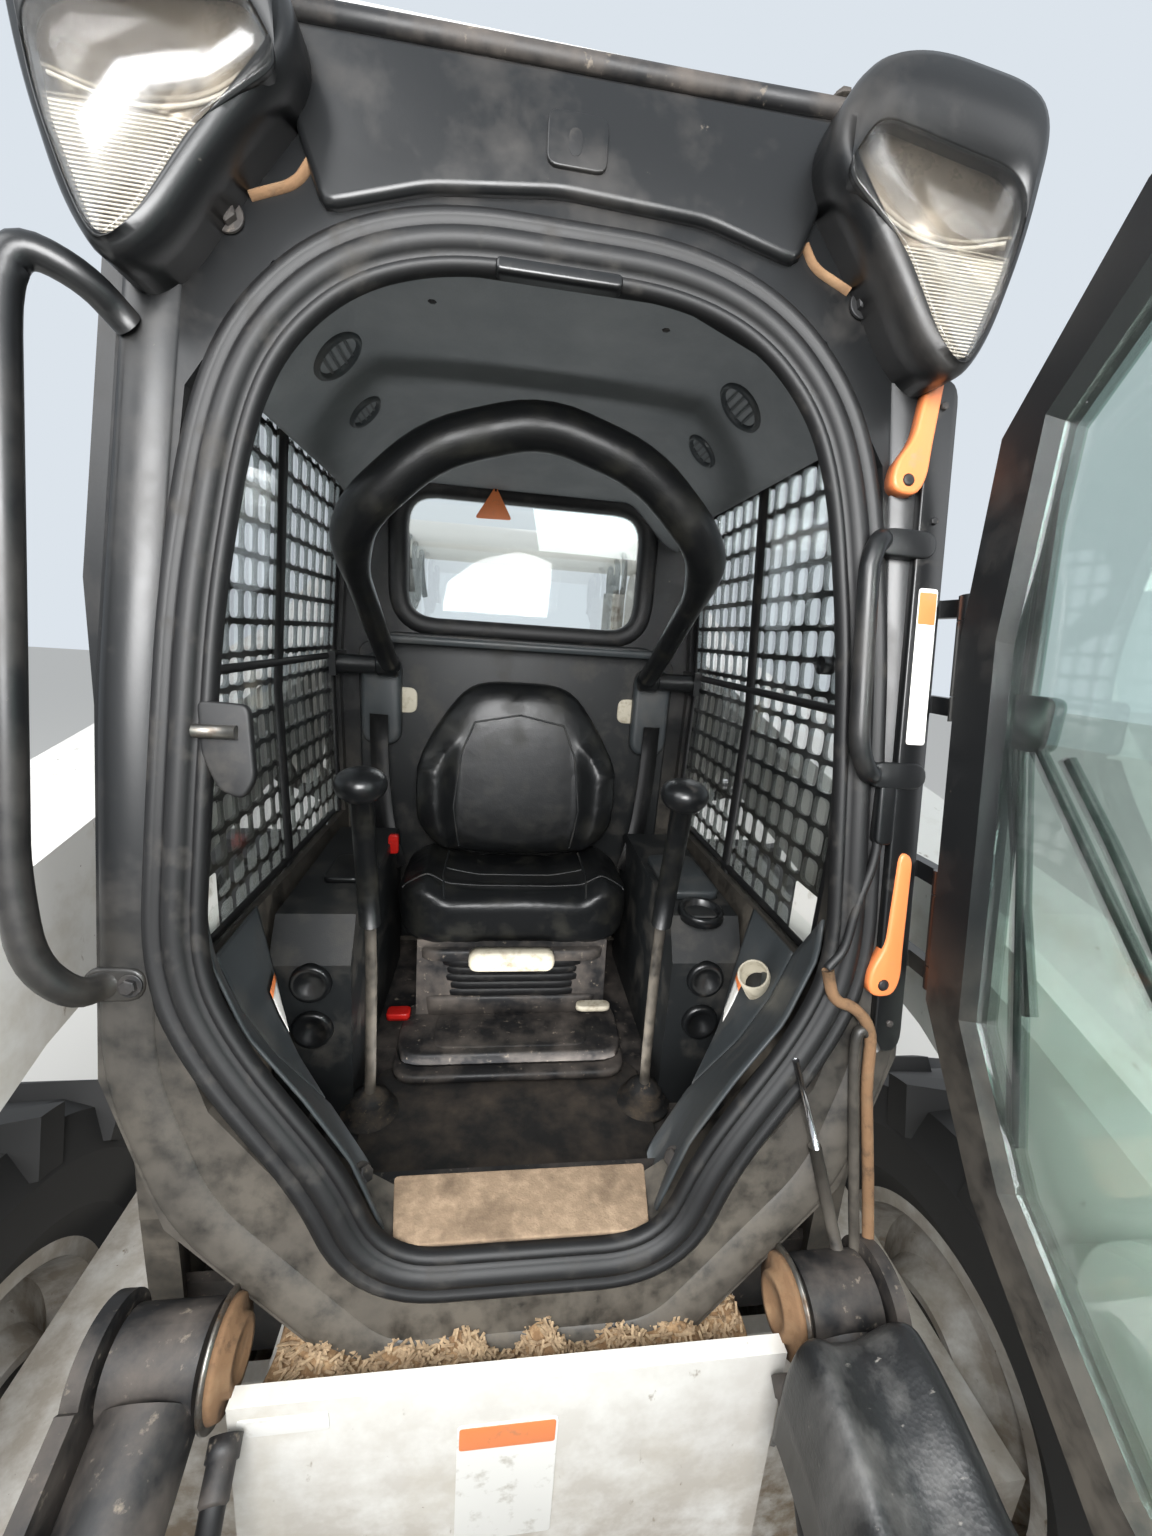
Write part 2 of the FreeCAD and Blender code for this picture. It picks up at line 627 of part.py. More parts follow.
def makeDoor():
    slab = behindRingFace(-doorGap - doorThick, doorThick)
    frame = prismY(doorOutline(0), -300, 500).common(slab)
    frame = frame.cut(prismY(doorOutline(doorRail), -300, 500))
    hingePoint, hingeAxis = doorAxis()
    for z in hingeZ:
        start = hingePoint + hingeAxis * ((z - doorBottom) / hingeAxis.z)
        frame = frame.fuse(Part.makeCylinder(11, 70, start, hingeAxis))
        frame = frame.fuse(box(hingeX - 30, hingeX, start.y - 2, start.y + 10, z + 4, z + 62))
    pane = behindRingFace(-doorGap - doorThick / 2 - 3, glassThick)
    glass = prismY(doorOutline(doorRail + pinGap), -300, 500).common(pane)
    shapes = {"door_frame": frame, "door_glass": glass}
    for shape in shapes.values():
        shape.rotate(hingePoint, hingeAxis, doorOpenAngle)
    return shapes


def makeHingePosts():
    """Knuckles on the ring that carry the door's pins, reached behind the closed door."""
    hingePoint, hingeAxis = doorAxis()
    knuckles = []
    for z in hingeZ:
        for shift in (-24, 71):
            start = hingePoint + hingeAxis * ((z - doorBottom) / hingeAxis.z + shift)
            leaf = Part.makeCylinder(11, 23, start, hingeAxis)
            low, high = start.z + 3, start.z + 20
            web = box(hingeX - 2, hingeX + 11, start.y - 4, start.y + doorGap + doorThick / 2 + 10, low, high)
            strap = prismX([(ringFaceY(low) + 1, low), (ringFaceY(low) + 30, low), (ringFaceY(high) + 30, high),
                            (ringFaceY(high) + 1, high)], ringHalf - 30, hingeX + 11)
            knuckles.append(leaf.fuse([web, strap]))
    return knuckles


# Inside the cab

def makeSeat():
    ledge, pad = shelfZ + pinGap, seatTop - 92 + pinGap
    f = seatFront
    base = prismX([(f, ledge), (f + 280, ledge), (f + 300, pad - pinGap), (f + 20, pad - pinGap)],
                  50 - seatHalf, seatHalf - 50)
    cushion = prismX([(f, pad + 17), (f + 20, pad), (f + 300, pad), (f + 300, seatTop - 10),
                      (f + 200, seatTop - 10), (f + 30, seatTop)], -seatHalf, seatHalf)
    foot = seatTop - 10 + pinGap
    back = prismX([(f + 215, foot), (f + 300, foot), (f + 342, backTop - 33), (f + 325, backTop), (f + 280, backTop),
                   (f + 262, backTop - 33)], -seatHalf + 25, seatHalf - 25)
    return {"seat_base": base, "seat_cushion": cushion, "seat_back": back}


def makeSeatBar():
    points = []
    for side in (1, -1):
        arm = [V(side * barPivotX, barPivotY, barPivotZ), V(side * barPivotX, barPivotY - 60, barPivotZ + 26),
               V(side * (barPivotX - 4), barPivotY - 340, barPivotZ + 192),
               V(side * (barPivotX - 40), barCornerY, barCornerZ),
               V(side * (barPivotX - 100), barCornerY - 22, barCornerZ + 42)]
        points += arm if side > 0 else arm[::-1]
    bar = tubeAlong(points, barRadius)
    for side in (-1, 1):
        x0, x1 = sorted((side * (barPivotX - 16), side * (barPivotX + 30)))
        bar = bar.fuse(barX(barPivotY, barPivotZ, 24, x0, x1))
    return bar


def makeBarMounts():
    """Bosses on the side walls that carry the seat bar."""
    mounts = []
    for side in (-1, 1):
        x0, x1 = sorted((side * (barPivotX + 30 + pinGap), side * (beltHalf - cabWall - 4)))
        boss = barX(barPivotY, barPivotZ, 20, x0, x1)
        x0, x1 = sorted((side * (beltHalf - cabWall - 10), side * (beltHalf - cabWall + 4)))
        mounts.append(boss.fuse(box(x0, x1, barPivotY - 26, cabRear - cabWall + 4, barPivotZ - 26, barPivotZ + 26)))
    return mounts


def makeConsole(side):
    x0, x1 = sorted((side * (cabBottomHalf - 162), side * (cabBottomHalf - cabWall - 2)))
    nose, back, top = shelfFront - 130, cabRear - 110, shelfZ + 330
    front = prismX([(nose, floorZ + 12 + pinGap), (nose, top - 70), (nose + 40, top), (shelfFront - pinGap, top + 4),
                    (shelfFront - pinGap, floorZ + 12 + pinGap)], x0, x1)
    return front.fuse(prismX([(nose + 70, top + 1), (back - 30, top + 15), (back, top), (back, shelfZ + pinGap),
                              (nose + 70, shelfZ + pinGap)], x0, x1)).removeSplitter()


def makeLever(side):
    grip = tubeAlong([V(side * knobX, knobY + 44, knobZ - 241), V(side * knobX, knobY + 30, knobZ - 163),
                      V(side * knobX, knobY, knobZ - 20)], 17)
    knob = Part.makeSphere(27, V(side * knobX, knobY, knobZ))
    shaft = rod(V(side * knobX, knobY + 44, knobZ - 223), V(side * (knobX + 10), knobY + 70, floorZ + 13), 9)
    return fused([grip, knob, shaft])


def offRing(x, z, out):
    """Point at a distance in front of the ring's leaning face, along its normal."""
    n = math.hypot(1, cabLean)
    return V(x, ringFaceY(z) - out / n, z + out * cabLean / n)


def makeHandle():
    """Grab handle on the outer edge of the ring's right post."""
    run = [(-30, -264, pinGap), (-30, -264, 34), (12, -238, 46), (26, -264, 48), (28, -704, 48), (18, -768, 46),
           (-9, -804, 34), (-9, -804, pinGap)]
    return tubeAlong([offRing(-ringHalf - x, roofZ + z, out) for x, z, out in run], 12)


# Engine bay

def makeHood():
    crease = hoodRear - 500
    outer = prismX([(hoodFront, tubTop + 0.3), (hoodFront, hoodTop), (crease, hoodTop), (hoodRear, hoodRearTop),
                    (hoodRear, rearBoxTop + pinGap), (rearBoxFront - 61, rearBoxTop + pinGap),
                    (rearBoxFront - 61, tubTop + 0.3)], -hoodHalf, hoodHalf)
    inner = prismX([(hoodFront + sheetThick, tubTop - 10), (hoodFront + sheetThick, hoodTop - sheetThick),
                    (crease, hoodTop - sheetThick), (hoodRear + 1, hoodRearTop - sheetThick),
                    (hoodRear + 1, tubTop - 10)], -hoodHalf + sheetThick, hoodHalf - sheetThick)
    hood = outer.cut(inner)
    slots = []
    for i in range(7):
        y = hoodFront + 108 + i * 62
        slots.append(box(-hoodHalf - 1, hoodHalf + 1, y, y + 26, hoodTop - 300, hoodTop - 120))
    for i in range(8):
        y = crease + 60 + i * 46
        slots.append(box(-rearLouvre, rearLouvre, y, y + 20, hoodRearTop - 100, hoodTop + 80))
    return hood.cut(slots)


def makeGate():
    y0 = hoodRear + 6
    gate = box(-gateHalf, gateHalf, y0, y0 + gateThick, gateBottom, gateTop)
    gate = gate.cut(box(-gateHalf + sheetThick, gateHalf - sheetThick, y0 - 1, y0 + gateThick - sheetThick,
                        gateBottom + sheetThick, gateTop - sheetThick))
    slots = []
    for i in range(9):
        z = gateTop - 490 + i * 44
        slots.append(box(-rearLouvre, rearLouvre, y0, y0 + gateThick + 1, z, z + 24))
    gate = gate.cut(slots)
    for z in gateKnuckles:
        gate = gate.fuse(Part.makeCylinder(12, 80, V(-gateHalf - 14, y0 + gateThick - 12, z)))
        gate = gate.fuse(box(-gateHalf - 14, -gateHalf + 4, y0 + gateThick - 18, y0 + gateThick - 6, z, z + 80))
    return gate


def makeGateHinges():
    """Fixed knuckles beside the tailgate."""
    y0 = hoodRear + 6
    knuckles = []
    for z in (z - 30 - pinGap for z in gateKnuckles):
        pin = Part.makeCylinder(12, 30, V(-gateHalf - 14, y0 + gateThick - 12, z))
        knuckles.append(pin.fuse(box(-uprightInner - 4, -gateHalf - 14, y0 + gateThick - 18,
                                     y0 + gateThick - 6, z, z + 30)))
    return knuckles


def makeExhaust():
    stack = Part.makeCylinder(34, 190, V(rearLouvre, hoodRear - 550, hoodTop + pinGap))
    return stack.cut(Part.makeCylinder(29, 200, V(rearLouvre, hoodRear - 550, hoodTop + 12)))


def makeTailLamp(side):
    x0, x1 = sorted((side * (rearBoxHalf - 185), side * (rearBoxHalf - 65)))
    return box(x0, x1, rearBoxRear + pinGap - 10, rearBoxRear + 26, pivotZ - 610, pivotZ - 500)


def main():
    os.makedirs("parts", exist_ok=True)
    nodes = {"main_frame": makeMainFrame(), "engine_block": makeEngine(), "stub_axles": makeAxles()}
    rim, tyre = makeRim(), makeTyre()
    for name, side, y in (("front_left", 1, frontAxleY), ("front_right", -1, frontAxleY),
                          ("rear_left", 1, frontAxleY + wheelbase), ("rear_right", -1, frontAxleY + wheelbase)):
        nodes["rim_" + name] = placeWheel(rim, side, y)
        nodes["tyre_" + name] = placeWheel(tyre, side, y)
    upright = makeUpright()
    nodes["upright_left"] = upright
    nodes["upright_right"] = mirrored(upright).fuse(makeGateHinges())
    nodes["lift_arms"] = makeLiftArms()
    for name, side in (("left", 1), ("right", -1)):
        barrel, piston = cylinder(side * liftX, (liftBaseY, liftBaseZ), (liftEyeY, liftEyeZ),
                                  80, liftBoreRadius, liftBarrelLength, 38, liftPinRadius, 0)
        nodes["lift_barrel_" + name], nodes["lift_rod_" + name] = barrel, piston
        barrel, piston = cylinder(side * tiltX, (tiltHubY, tiltHubZ), (tiltEyeY, tiltEyeZ),
                                  72, tiltBarrelRadius, tiltBarrelLength, 32, 20, 90)
        nodes["tilt_barrel_" + name], nodes["tilt_rod_" + name] = barrel, piston
    nodes["tool_carrier"] = makeCarrier()
    nodes["bucket"] = makeBucket()
    nodes["bucket_edge"] = makeEdge()
    nodes["cab_frame"] = makeCabFrame().fuse(makeHingePosts() + makeBarMounts())
    nodes["cab_floor"] = makeCabFloor()
    nodes["cab_roof"] = makeRoof()
    nodes["headliner"] = makeHeadliner()
    sideGlass = sideSheet(screenInset + screenThick + 4, glassThick, 1)
    for name, left in (("lamp_pods", lampPod()), ("side_screens", makeScreen(1)), ("side_glass", sideGlass),
                       ("consoles", makeConsole(1)), ("levers", makeLever(1)), ("tail_lamps", makeTailLamp(1)),
                       ("tilt_ears", makeTiltEar())):
        nodes[name] = Part.makeCompound([left, mirrored(left)])
    nodes["rear_glass"] = makeRearGlass()
    nodes.update(makeDoor())
    nodes.update(makeSeat())
    nodes["seat_bar"] = makeSeatBar()
    nodes["grab_handle"] = makeHandle()
    nodes["hood"] = makeHood()
    nodes["tailgate"] = makeGate()
    nodes["exhaust_stack"] = makeExhaust()
    for name, shape in nodes.items():
        placed = shape.translated(V(0, shiftY, 0))
        placed.exportStep("parts/" + name + ".step")
        b = placed.BoundBox
        print(name, len(placed.Solids), placed.isValid(), round(placed.Volume / 1e6, 2),
              [round(v) for v in (b.XMin, b.YMin, b.ZMin, b.XMax, b.YMax, b.ZMax)])


main()
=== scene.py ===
import math
import bmesh
import bpy
import numpy as np
from mathutils import Matrix, Vector
from mathutils.bvhtree import BVHTree


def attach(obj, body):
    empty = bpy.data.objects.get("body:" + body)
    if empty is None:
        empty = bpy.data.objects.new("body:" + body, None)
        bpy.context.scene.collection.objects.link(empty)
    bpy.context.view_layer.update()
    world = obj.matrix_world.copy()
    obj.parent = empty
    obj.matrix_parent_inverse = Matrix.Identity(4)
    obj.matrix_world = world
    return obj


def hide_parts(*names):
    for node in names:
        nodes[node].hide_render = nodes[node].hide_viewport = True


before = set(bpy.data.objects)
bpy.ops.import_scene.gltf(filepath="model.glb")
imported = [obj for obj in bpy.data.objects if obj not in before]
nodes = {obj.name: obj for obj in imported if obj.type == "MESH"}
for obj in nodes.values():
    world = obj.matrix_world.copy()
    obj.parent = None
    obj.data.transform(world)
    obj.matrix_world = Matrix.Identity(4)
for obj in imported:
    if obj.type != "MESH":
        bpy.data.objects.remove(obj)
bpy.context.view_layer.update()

bpy.context.scene.view_settings.view_transform = "Standard"
yShift = -0.290  # the sill's front face, in the machine's own frame
lean = 0.155  # the cab's front leans back by this much per metre of height
leanFrom = 0.820  # height at which the leaning front passes the sill's front face
bothSides = ((1, "left"), (-1, "right"))
print("frame loaded")


# Helpers: places on the machine

def at(x, y, z):  # y is measured from the sill, as in the part's source
    return np.stack(np.broadcast_arrays(np.asarray(x, float), np.asarray(y, float) + yShift, np.asarray(z, float)), -1)


ringNormal = np.array([0.0, -1.0, lean]) / math.hypot(1, lean)


def onRing(x, z, out=0.0):  # height z on the leaning front, then straight out of it
    base = at(x, lean * (np.asarray(z, float) - leanFrom), z)
    return base + np.multiply.outer(np.broadcast_to(np.asarray(out, float), base.shape[:-1]), ringNormal)


def hexColour(text):  # sRGB hex to linear
    c = np.array([int(text[i:i + 2], 16) for i in (1, 3, 5)]) / 255
    return (*np.where(c <= 0.04045, c / 12.92, ((c + 0.055) / 1.055) ** 2.4).tolist(), 1.0)


# Helpers: surfaces

def gridFaces(rows, columns, wrapRows, wrapColumns):  # quads of a grid of points, row after row
    r = np.arange(rows if wrapRows else rows - 1)[:, None]
    c = np.arange(columns if wrapColumns else columns - 1)[None, :]
    r1, c1 = (r + 1) % rows, (c + 1) % columns
    return np.stack(np.broadcast_arrays(r * columns + c, r * columns + c1, r1 * columns + c1, r1 * columns + c), -1).reshape(-1, 4)


def addMesh(name, points, faces, material, body="machine", smooth=True, replaces=()):
    mesh = bpy.data.meshes.new(name)
    mesh.from_pydata(np.asarray(points).reshape(-1, 3).tolist(), [], [list(f) for f in faces])
    mesh.polygons.foreach_set("use_smooth", [smooth] * len(mesh.polygons))
    piece = bpy.data.objects.new(name, mesh)
    bpy.context.collection.objects.link(piece)
    mesh.materials.append(material)
    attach(piece, body)
    if replaces:
        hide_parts(*replaces)
    return piece


def rounded(points, radius, steps=6, closed=False):  # each corner becomes a quadratic arc that starts and ends radius away
    p = np.asarray(points, float)
    before, after = np.roll(p, 1, 0), np.roll(p, -1, 0)
    r = np.broadcast_to(np.asarray(radius, float), (len(p),))[:, None]
    toB, toA = before - p, after - p
    lb, la = np.linalg.norm(toB, axis=1, keepdims=True), np.linalg.norm(toA, axis=1, keepdims=True)
    start = p + toB / lb * np.minimum(r, lb * 0.48)
    end = p + toA / la * np.minimum(r, la * 0.48)
    t = np.linspace(0, 1, steps)[None, :, None]
    arcs = (1 - t) ** 2 * start[:, None] + 2 * t * (1 - t) * p[:, None] + t ** 2 * end[:, None]
    if closed:
        return arcs.reshape(-1, p.shape[1])
    return np.concatenate([p[:1], arcs[1:-1].reshape(-1, p.shape[1]), p[-1:]])


def resample(points, count, closed=False):  # even steps along a line of points
    p = np.concatenate([points, points[:1]]) if closed else np.asarray(points)
    s = np.concatenate([[0], np.cumsum(np.linalg.norm(np.diff(p, axis=0), axis=1))])
    t = np.linspace(0, s[-1], count + 1)[:-1] if closed else np.linspace(0, s[-1], count)
    return np.stack([np.interp(t, s, p[:, i]) for i in range(p.shape[1])], -1)


def sweep(name, path, profile, material, body="machine", closed=False, up=None, ring=True, swell=1.0, **more):
    # a profile of (sideways, upwards) pairs carried along the path, times swell; up is the fixed direction it stands on
    path, profile = np.asarray(path, float), np.asarray(profile, float)
    if closed:
        tangent = np.roll(path, -1, 0) - np.roll(path, 1, 0)
    else:
        tangent = np.gradient(path, axis=0)
    tangent /= np.linalg.norm(tangent, axis=1, keepdims=True)
    ref = np.array([0.131, 0.317, 0.94]) if up is None else np.asarray(up, float)
    side = np.cross(tangent, ref)
    side /= np.linalg.norm(side, axis=1, keepdims=True)
    rise = np.cross(side, tangent)
    swell = np.broadcast_to(swell, len(path))[:, None, None]
    points = path[:, None] + swell * (profile[None, :, :1] * side[:, None] + profile[None, :, 1:2] * rise[:, None])
    n, m = len(path), len(profile)
    faces = gridFaces(n, m, closed, ring).tolist()
    if not closed and ring:
        faces += [list(range(m)), list(range((n - 1) * m, n * m))[::-1]]
    return addMesh(name, points, faces, material, body, **more)


def circle(radius, count=12, squash=1.0):
    a = np.linspace(0, 2 * math.pi, count, endpoint=False)
    return np.stack([radius * np.cos(a), radius * squash * np.sin(a)], -1)


def tube(name, points, radius, material, body="machine", bend=0.03, count=12, squash=1.0, **more):
    # round bar on a line with bent corners
    return sweep(name, rounded(points, bend), circle(radius, count, squash), material, body, **more)


def inset(outline, amount):  # outline moved inwards along the bisector of its two sides
    ahead, behind = np.roll(outline, -1, 0) - outline, outline - np.roll(outline, 1, 0)
    ahead, behind = (v / np.maximum(np.linalg.norm(v, axis=1, keepdims=True), 1e-9) for v in (ahead, behind))
    mid = ahead + behind
    mid /= np.maximum(np.linalg.norm(mid, axis=1, keepdims=True), 1e-9)
    area = np.sum(outline[:, 0] * np.roll(outline[:, 1], -1) - outline[:, 1] * np.roll(outline[:, 0], -1))
    normal = np.stack([-mid[:, 1], mid[:, 0]], -1) * np.sign(area)
    return outline + normal * amount


def slab(name, outline, place, thick, edge, material, body="machine", dome=0.0, **more):
    # flat outline with rounded front edges; place turns (u, v, out) arrays into points on the machine
    outline = np.asarray(outline, float)
    steps = np.linspace(0, math.pi / 2, 5)
    rings = [(0.0, 0.0)] + [(edge * (1 - math.cos(s)), thick - edge + edge * math.sin(s)) for s in steps]
    layers = [np.concatenate([inset(outline, i), np.full((len(outline), 1), o)], 1) for i, o in rings]
    flat = np.concatenate(layers)
    faces = gridFaces(len(rings), len(outline), False, True).tolist()
    n = len(outline)
    if dome:
        centre = outline.mean(0)
        for k in (0.25, 0.5, 0.75, 0.92):
            inner = layers[-1][:, :2] * (1 - k) + centre * k
            flat = np.concatenate([flat, np.concatenate([inner, np.full((n, 1), thick + dome * (1 - (1 - k) ** 2))], 1)])
        faces += (gridFaces(5, n, False, True) + (len(rings) - 1) * n).tolist()
    faces += [list(range(len(flat) - n, len(flat))), list(range(n))[::-1]]
    return outward(addMesh(name, place(flat[:, 0], flat[:, 1], flat[:, 2]), faces, material, body, **more))


def outward(piece):  # faces of a closed shape point outwards
    b = bmesh.new()
    b.from_mesh(piece.data)
    bmesh.ops.recalc_face_normals(b, faces=b.faces)
    b.to_mesh(piece.data)
    b.free()
    return piece


def lathe(name, origin, axis, profile, material, body="machine", count=32, **more):
    # (radius, along) pairs turned about an axis
    axis = np.asarray(axis, float) / np.linalg.norm(axis)
    ref = np.array([0.0, 0.0, 1.0]) if abs(axis[2]) < 0.9 else np.array([1.0, 0.0, 0.0])
    u = np.cross(axis, ref)
    u /= np.linalg.norm(u)
    v = np.cross(axis, u)
    a = np.linspace(0, 2 * math.pi, count, endpoint=False)[:, None]
    p = np.asarray(profile, float)
    spin = np.cos(a)[..., None] * u + np.sin(a)[..., None] * v
    points = np.asarray(origin, float) + p[None, :, 1:2] * axis + p[None, :, :1] * spin
    faces = gridFaces(count, len(p), True, False).tolist()
    m = len(p)
    faces += [[i * m for i in range(count)], [i * m + m - 1 for i in range(count)][::-1]]
    return outward(addMesh(name, points, faces, material, body, **more))


# Materials

def addNode(tree, kind, settings=(), links=()):
    node = tree.nodes.new(kind)
    for key, value in dict(settings).items():
        if isinstance(key, str) and hasattr(node, key):
            setattr(node, key, value)
        else:
            node.inputs[key].default_value = value
    for key, source in dict(links).items():
        tree.links.new(source, node.inputs[key])
    return node


def finish(name, slot, colour, rough, layers=(), bumps=(), low=None, **constants):
    # layers: (colour, size in mm, from, to, roughness, stretch) laid over the base where noise is high
    # bumps: (kind, size in mm, height in mm); low: (colour, z where it is full, z where it ends, roughness, size in mm)
    material = bpy.data.materials.new(name)
    material.use_nodes = True
    material["slot"] = slot
    tree = material.node_tree
    tree.nodes.clear()
    place = addNode(tree, "ShaderNodeTexCoord").outputs["Object"]
    shade, gloss = None, None
    steps = [dict(colour=c, size=s, a=a, b=b, rough=r, stretch=k, fade=None) for c, s, a, b, r, k in layers]
    if low:
        steps.insert(0, dict(colour=low[0], size=low[4], a=0.25, b=0.6, rough=low[3], stretch=(1, 1, 1), fade=low[1:3]))
    for step in steps:
        spread = addNode(tree, "ShaderNodeMapping", {"Scale": step["stretch"]}, {"Vector": place}).outputs[0]
        noise = addNode(tree, "ShaderNodeTexNoise", {"Scale": 1000 / step["size"], "Detail": 7.0, "Roughness": 0.62}, {"Vector": spread})
        mask = addNode(tree, "ShaderNodeMapRange", {"From Min": step["a"], "From Max": step["b"]}, {"Value": noise.outputs[0]}).outputs[0]
        if step["fade"]:
            height = addNode(tree, "ShaderNodeSeparateXYZ", (), {0: place}).outputs[2]
            fade = addNode(tree, "ShaderNodeMapRange", {"From Min": step["fade"][1], "From Max": step["fade"][0]}, {"Value": height}).outputs[0]
            mask = addNode(tree, "ShaderNodeMath", {"operation": "MULTIPLY"}, {0: mask, 1: fade}).outputs[0]
        mix = addNode(tree, "ShaderNodeMix", {"data_type": "RGBA", 6: hexColour(colour), 7: hexColour(step["colour"])}, {0: mask})
        if shade:
            tree.links.new(shade, mix.inputs[6])
        shade = mix.outputs[2]
        coarse = addNode(tree, "ShaderNodeMix", {2: rough, 3: step["rough"]}, {0: mask})
        if gloss:
            tree.links.new(gloss, coarse.inputs[2])
        gloss = coarse.outputs[0]
    normal = None
    for kind, size, height in bumps:
        if kind == "cells":
            source = addNode(tree, "ShaderNodeTexVoronoi", {"Scale": 1000 / size}, {"Vector": place}).outputs[0]
        elif kind in "xyz":
            source = addNode(tree, "ShaderNodeTexWave", {"bands_direction": kind.upper(), "Scale": 314 / size}, {"Vector": place}).outputs[1]
        else:
            source = addNode(tree, "ShaderNodeTexNoise", {"Scale": 1000 / size, "Detail": 5.0}, {"Vector": place}).outputs[0]
        bump = addNode(tree, "ShaderNodeBump", {"Strength": 1.0, "Distance": height / 1000}, {"Height": source})
        if normal:
            tree.links.new(normal, bump.inputs["Normal"])
        normal = bump.outputs[0]
    shader = addNode(tree, "ShaderNodeBsdfPrincipled", {"Base Color": hexColour(colour), "Roughness": rough, **{k.replace("_", " "): v for k, v in constants.items()}})
    if shade:
        tree.links.new(shade, shader.inputs["Base Color"])
        tree.links.new(gloss, shader.inputs["Roughness"])
    if normal:
        tree.links.new(normal, shader.inputs["Normal"])
    addNode(tree, "ShaderNodeOutputMaterial", (), {0: shader.outputs[0]})
    return material


one = (1, 1, 1)
# gloss enamel on sheet steel: smooth, dulled by dust, chipped to rust along worn places
finish("white_enamel", "white_paint", "#DEDDD8", 0.30,
       [("#B9B2A4", 160, 0.52, 0.75, 0.6, one), ("#7A6A55", 22, 0.66, 0.74, 0.8, (1, 1, 0.4)),
        ("#5A3220", 9, 0.715, 0.735, 0.85, one)],
       [("noise", 60, 0.25)], low=("#8A7B67", 0.35, 0.95, 0.85, 45), IOR=1.5)
# black powder coat on the cab: satin, fine orange peel, grey-brown dust
blackCoat = finish("black_powder_coat", "black_paint", "#141516", 0.34,
                   [("#3A3734", 120, 0.50, 0.80, 0.6, one), ("#6E675C", 14, 0.70, 0.80, 0.85, one)],
                   [("noise", 3.0, 0.05)], low=("#5C564D", 0.85, 1.25, 0.8, 30), IOR=1.5)
# sheet steel in black paint, worn and dusty, low on the machine
dustySteel = finish("dusty_black_steel", "black_steel", "#1C1C1D", 0.5,
                    [("#57504A", 70, 0.42, 0.72, 0.8, one), ("#8D8274", 12, 0.62, 0.78, 0.9, one)], [("noise", 5, 0.15)])
# EPDM sponge seal: matt black, slightly dusty on top
sealRubber = finish("epdm_seal", "black_paint", "#0E0E0F", 0.55, [("#3B3834", 40, 0.55, 0.8, 0.8, one)], [("noise", 2, 0.04)])
# pressed felt and foam headliner with a fine grain
greyLiner = finish("grained_grey_liner", "grey_plastic", "#6C7072", 0.75, [("#7B7E7F", 90, 0.4, 0.8, 0.8, one)], [("cells", 3.0, 0.12)])
# moulded polypropylene consoles, fine grain, dusty
darkTrim = finish("moulded_polypropylene", "black_plastic", "#1A1C1D", 0.5, [("#47443F", 80, 0.5, 0.8, 0.75, one)], [("cells", 2.0, 0.08)], IOR=1.49)
greyTrim = finish("grey_polypropylene", "grey_plastic", "#34383A", 0.42, [("#4E4C48", 90, 0.5, 0.85, 0.7, one)], [("cells", 2.0, 0.05)], IOR=1.49)
# coated vinyl on foam: soft sheen, leather grain
seatVinyl = finish("seat_vinyl", "vinyl", "#0E0F10", 0.36, [("#26251F", 60, 0.5, 0.85, 0.6, one)], [("cells", 2.4, 0.10), ("noise", 40, 0.8)], IOR=1.46)
# injection-moulded ABS levers and knobs
glossPlastic = finish("moulded_abs", "black_plastic", "#101112", 0.3, [("#3A3733", 30, 0.6, 0.8, 0.6, one)], [], IOR=1.53)
# hard chrome on the cylinder rods
hardChrome = finish("hard_chrome", "chrome_rod", "#C9C9CC", 0.12, [("#8C8377", 60, 0.6, 0.85, 0.5, one)], [], Metallic=1.0)
# bare steel polished by soil
bareSteel = finish("soil_polished_steel", "worn_steel", "#8B8882", 0.38, [("#5E4A38", 25, 0.5, 0.7, 0.7, one)], [("noise", 8, 0.2)], Metallic=1.0)
# engine block cast in sand, oily and dusty
finish("sand_cast_iron", "cast_engine", "#2A2B2D", 0.7, [("#4A4036", 40, 0.5, 0.8, 0.85, one)], [("noise", 4, 0.4)])
# natural and carbon black rubber, brown with dried soil
tyreRubber = finish("tyre_rubber", "tyre_rubber", "#1B1B1B", 0.75, [("#5B4F41", 50, 0.45, 0.75, 0.95, one), ("#7B6B57", 12, 0.6, 0.75, 0.95, one)], [("noise", 3, 0.3)])
# toughened window glass with a green tint
finish("toughened_glass", "glass", "#D7E6DE", 0.03, Transmission_Weight=1.0, Alpha=0.28, IOR=1.52)
finish("green_tinted_glass", "glass", "#9CC9B4", 0.03, Transmission_Weight=1.0, Alpha=0.45, IOR=1.52)
# clear moulded lamp lens, hazed by dust
lensPlastic = finish("polycarbonate_lens", "lamp_plastic", "#E6E1D6", 0.08, [("#B5AC9C", 50, 0.45, 0.7, 0.35, one)], [], Transmission_Weight=1.0, Alpha=0.30, IOR=1.58)
# the same plastic where its moulded ribs scatter the light
ribPlastic = finish("ribbed_polycarbonate", "lamp_plastic", "#CFC9BC", 0.30, IOR=1.58)
# vacuum-coated aluminium inside the lamps, dimmed by age
reflector = finish("aluminised_reflector", "lamp_plastic", "#8F867A", 0.30, [("#6E665B", 45, 0.45, 0.8, 0.45, one)], [("noise", 24, 0.8)], Metallic=0.6)
# moulded nylon levers in a signal colour, then cast acrylic with fine ribs
orangeNylon = finish("orange_nylon", "red_lens", "#DE7F4A", 0.42, [("#9E7A5E", 18, 0.58, 0.8, 0.7, one)], [("noise", 6, 0.1)], IOR=1.53)
redLens = finish("red_acrylic", "red_lens", "#A81D18", 0.15, [], [("z", 8, 0.3)], IOR=1.49)
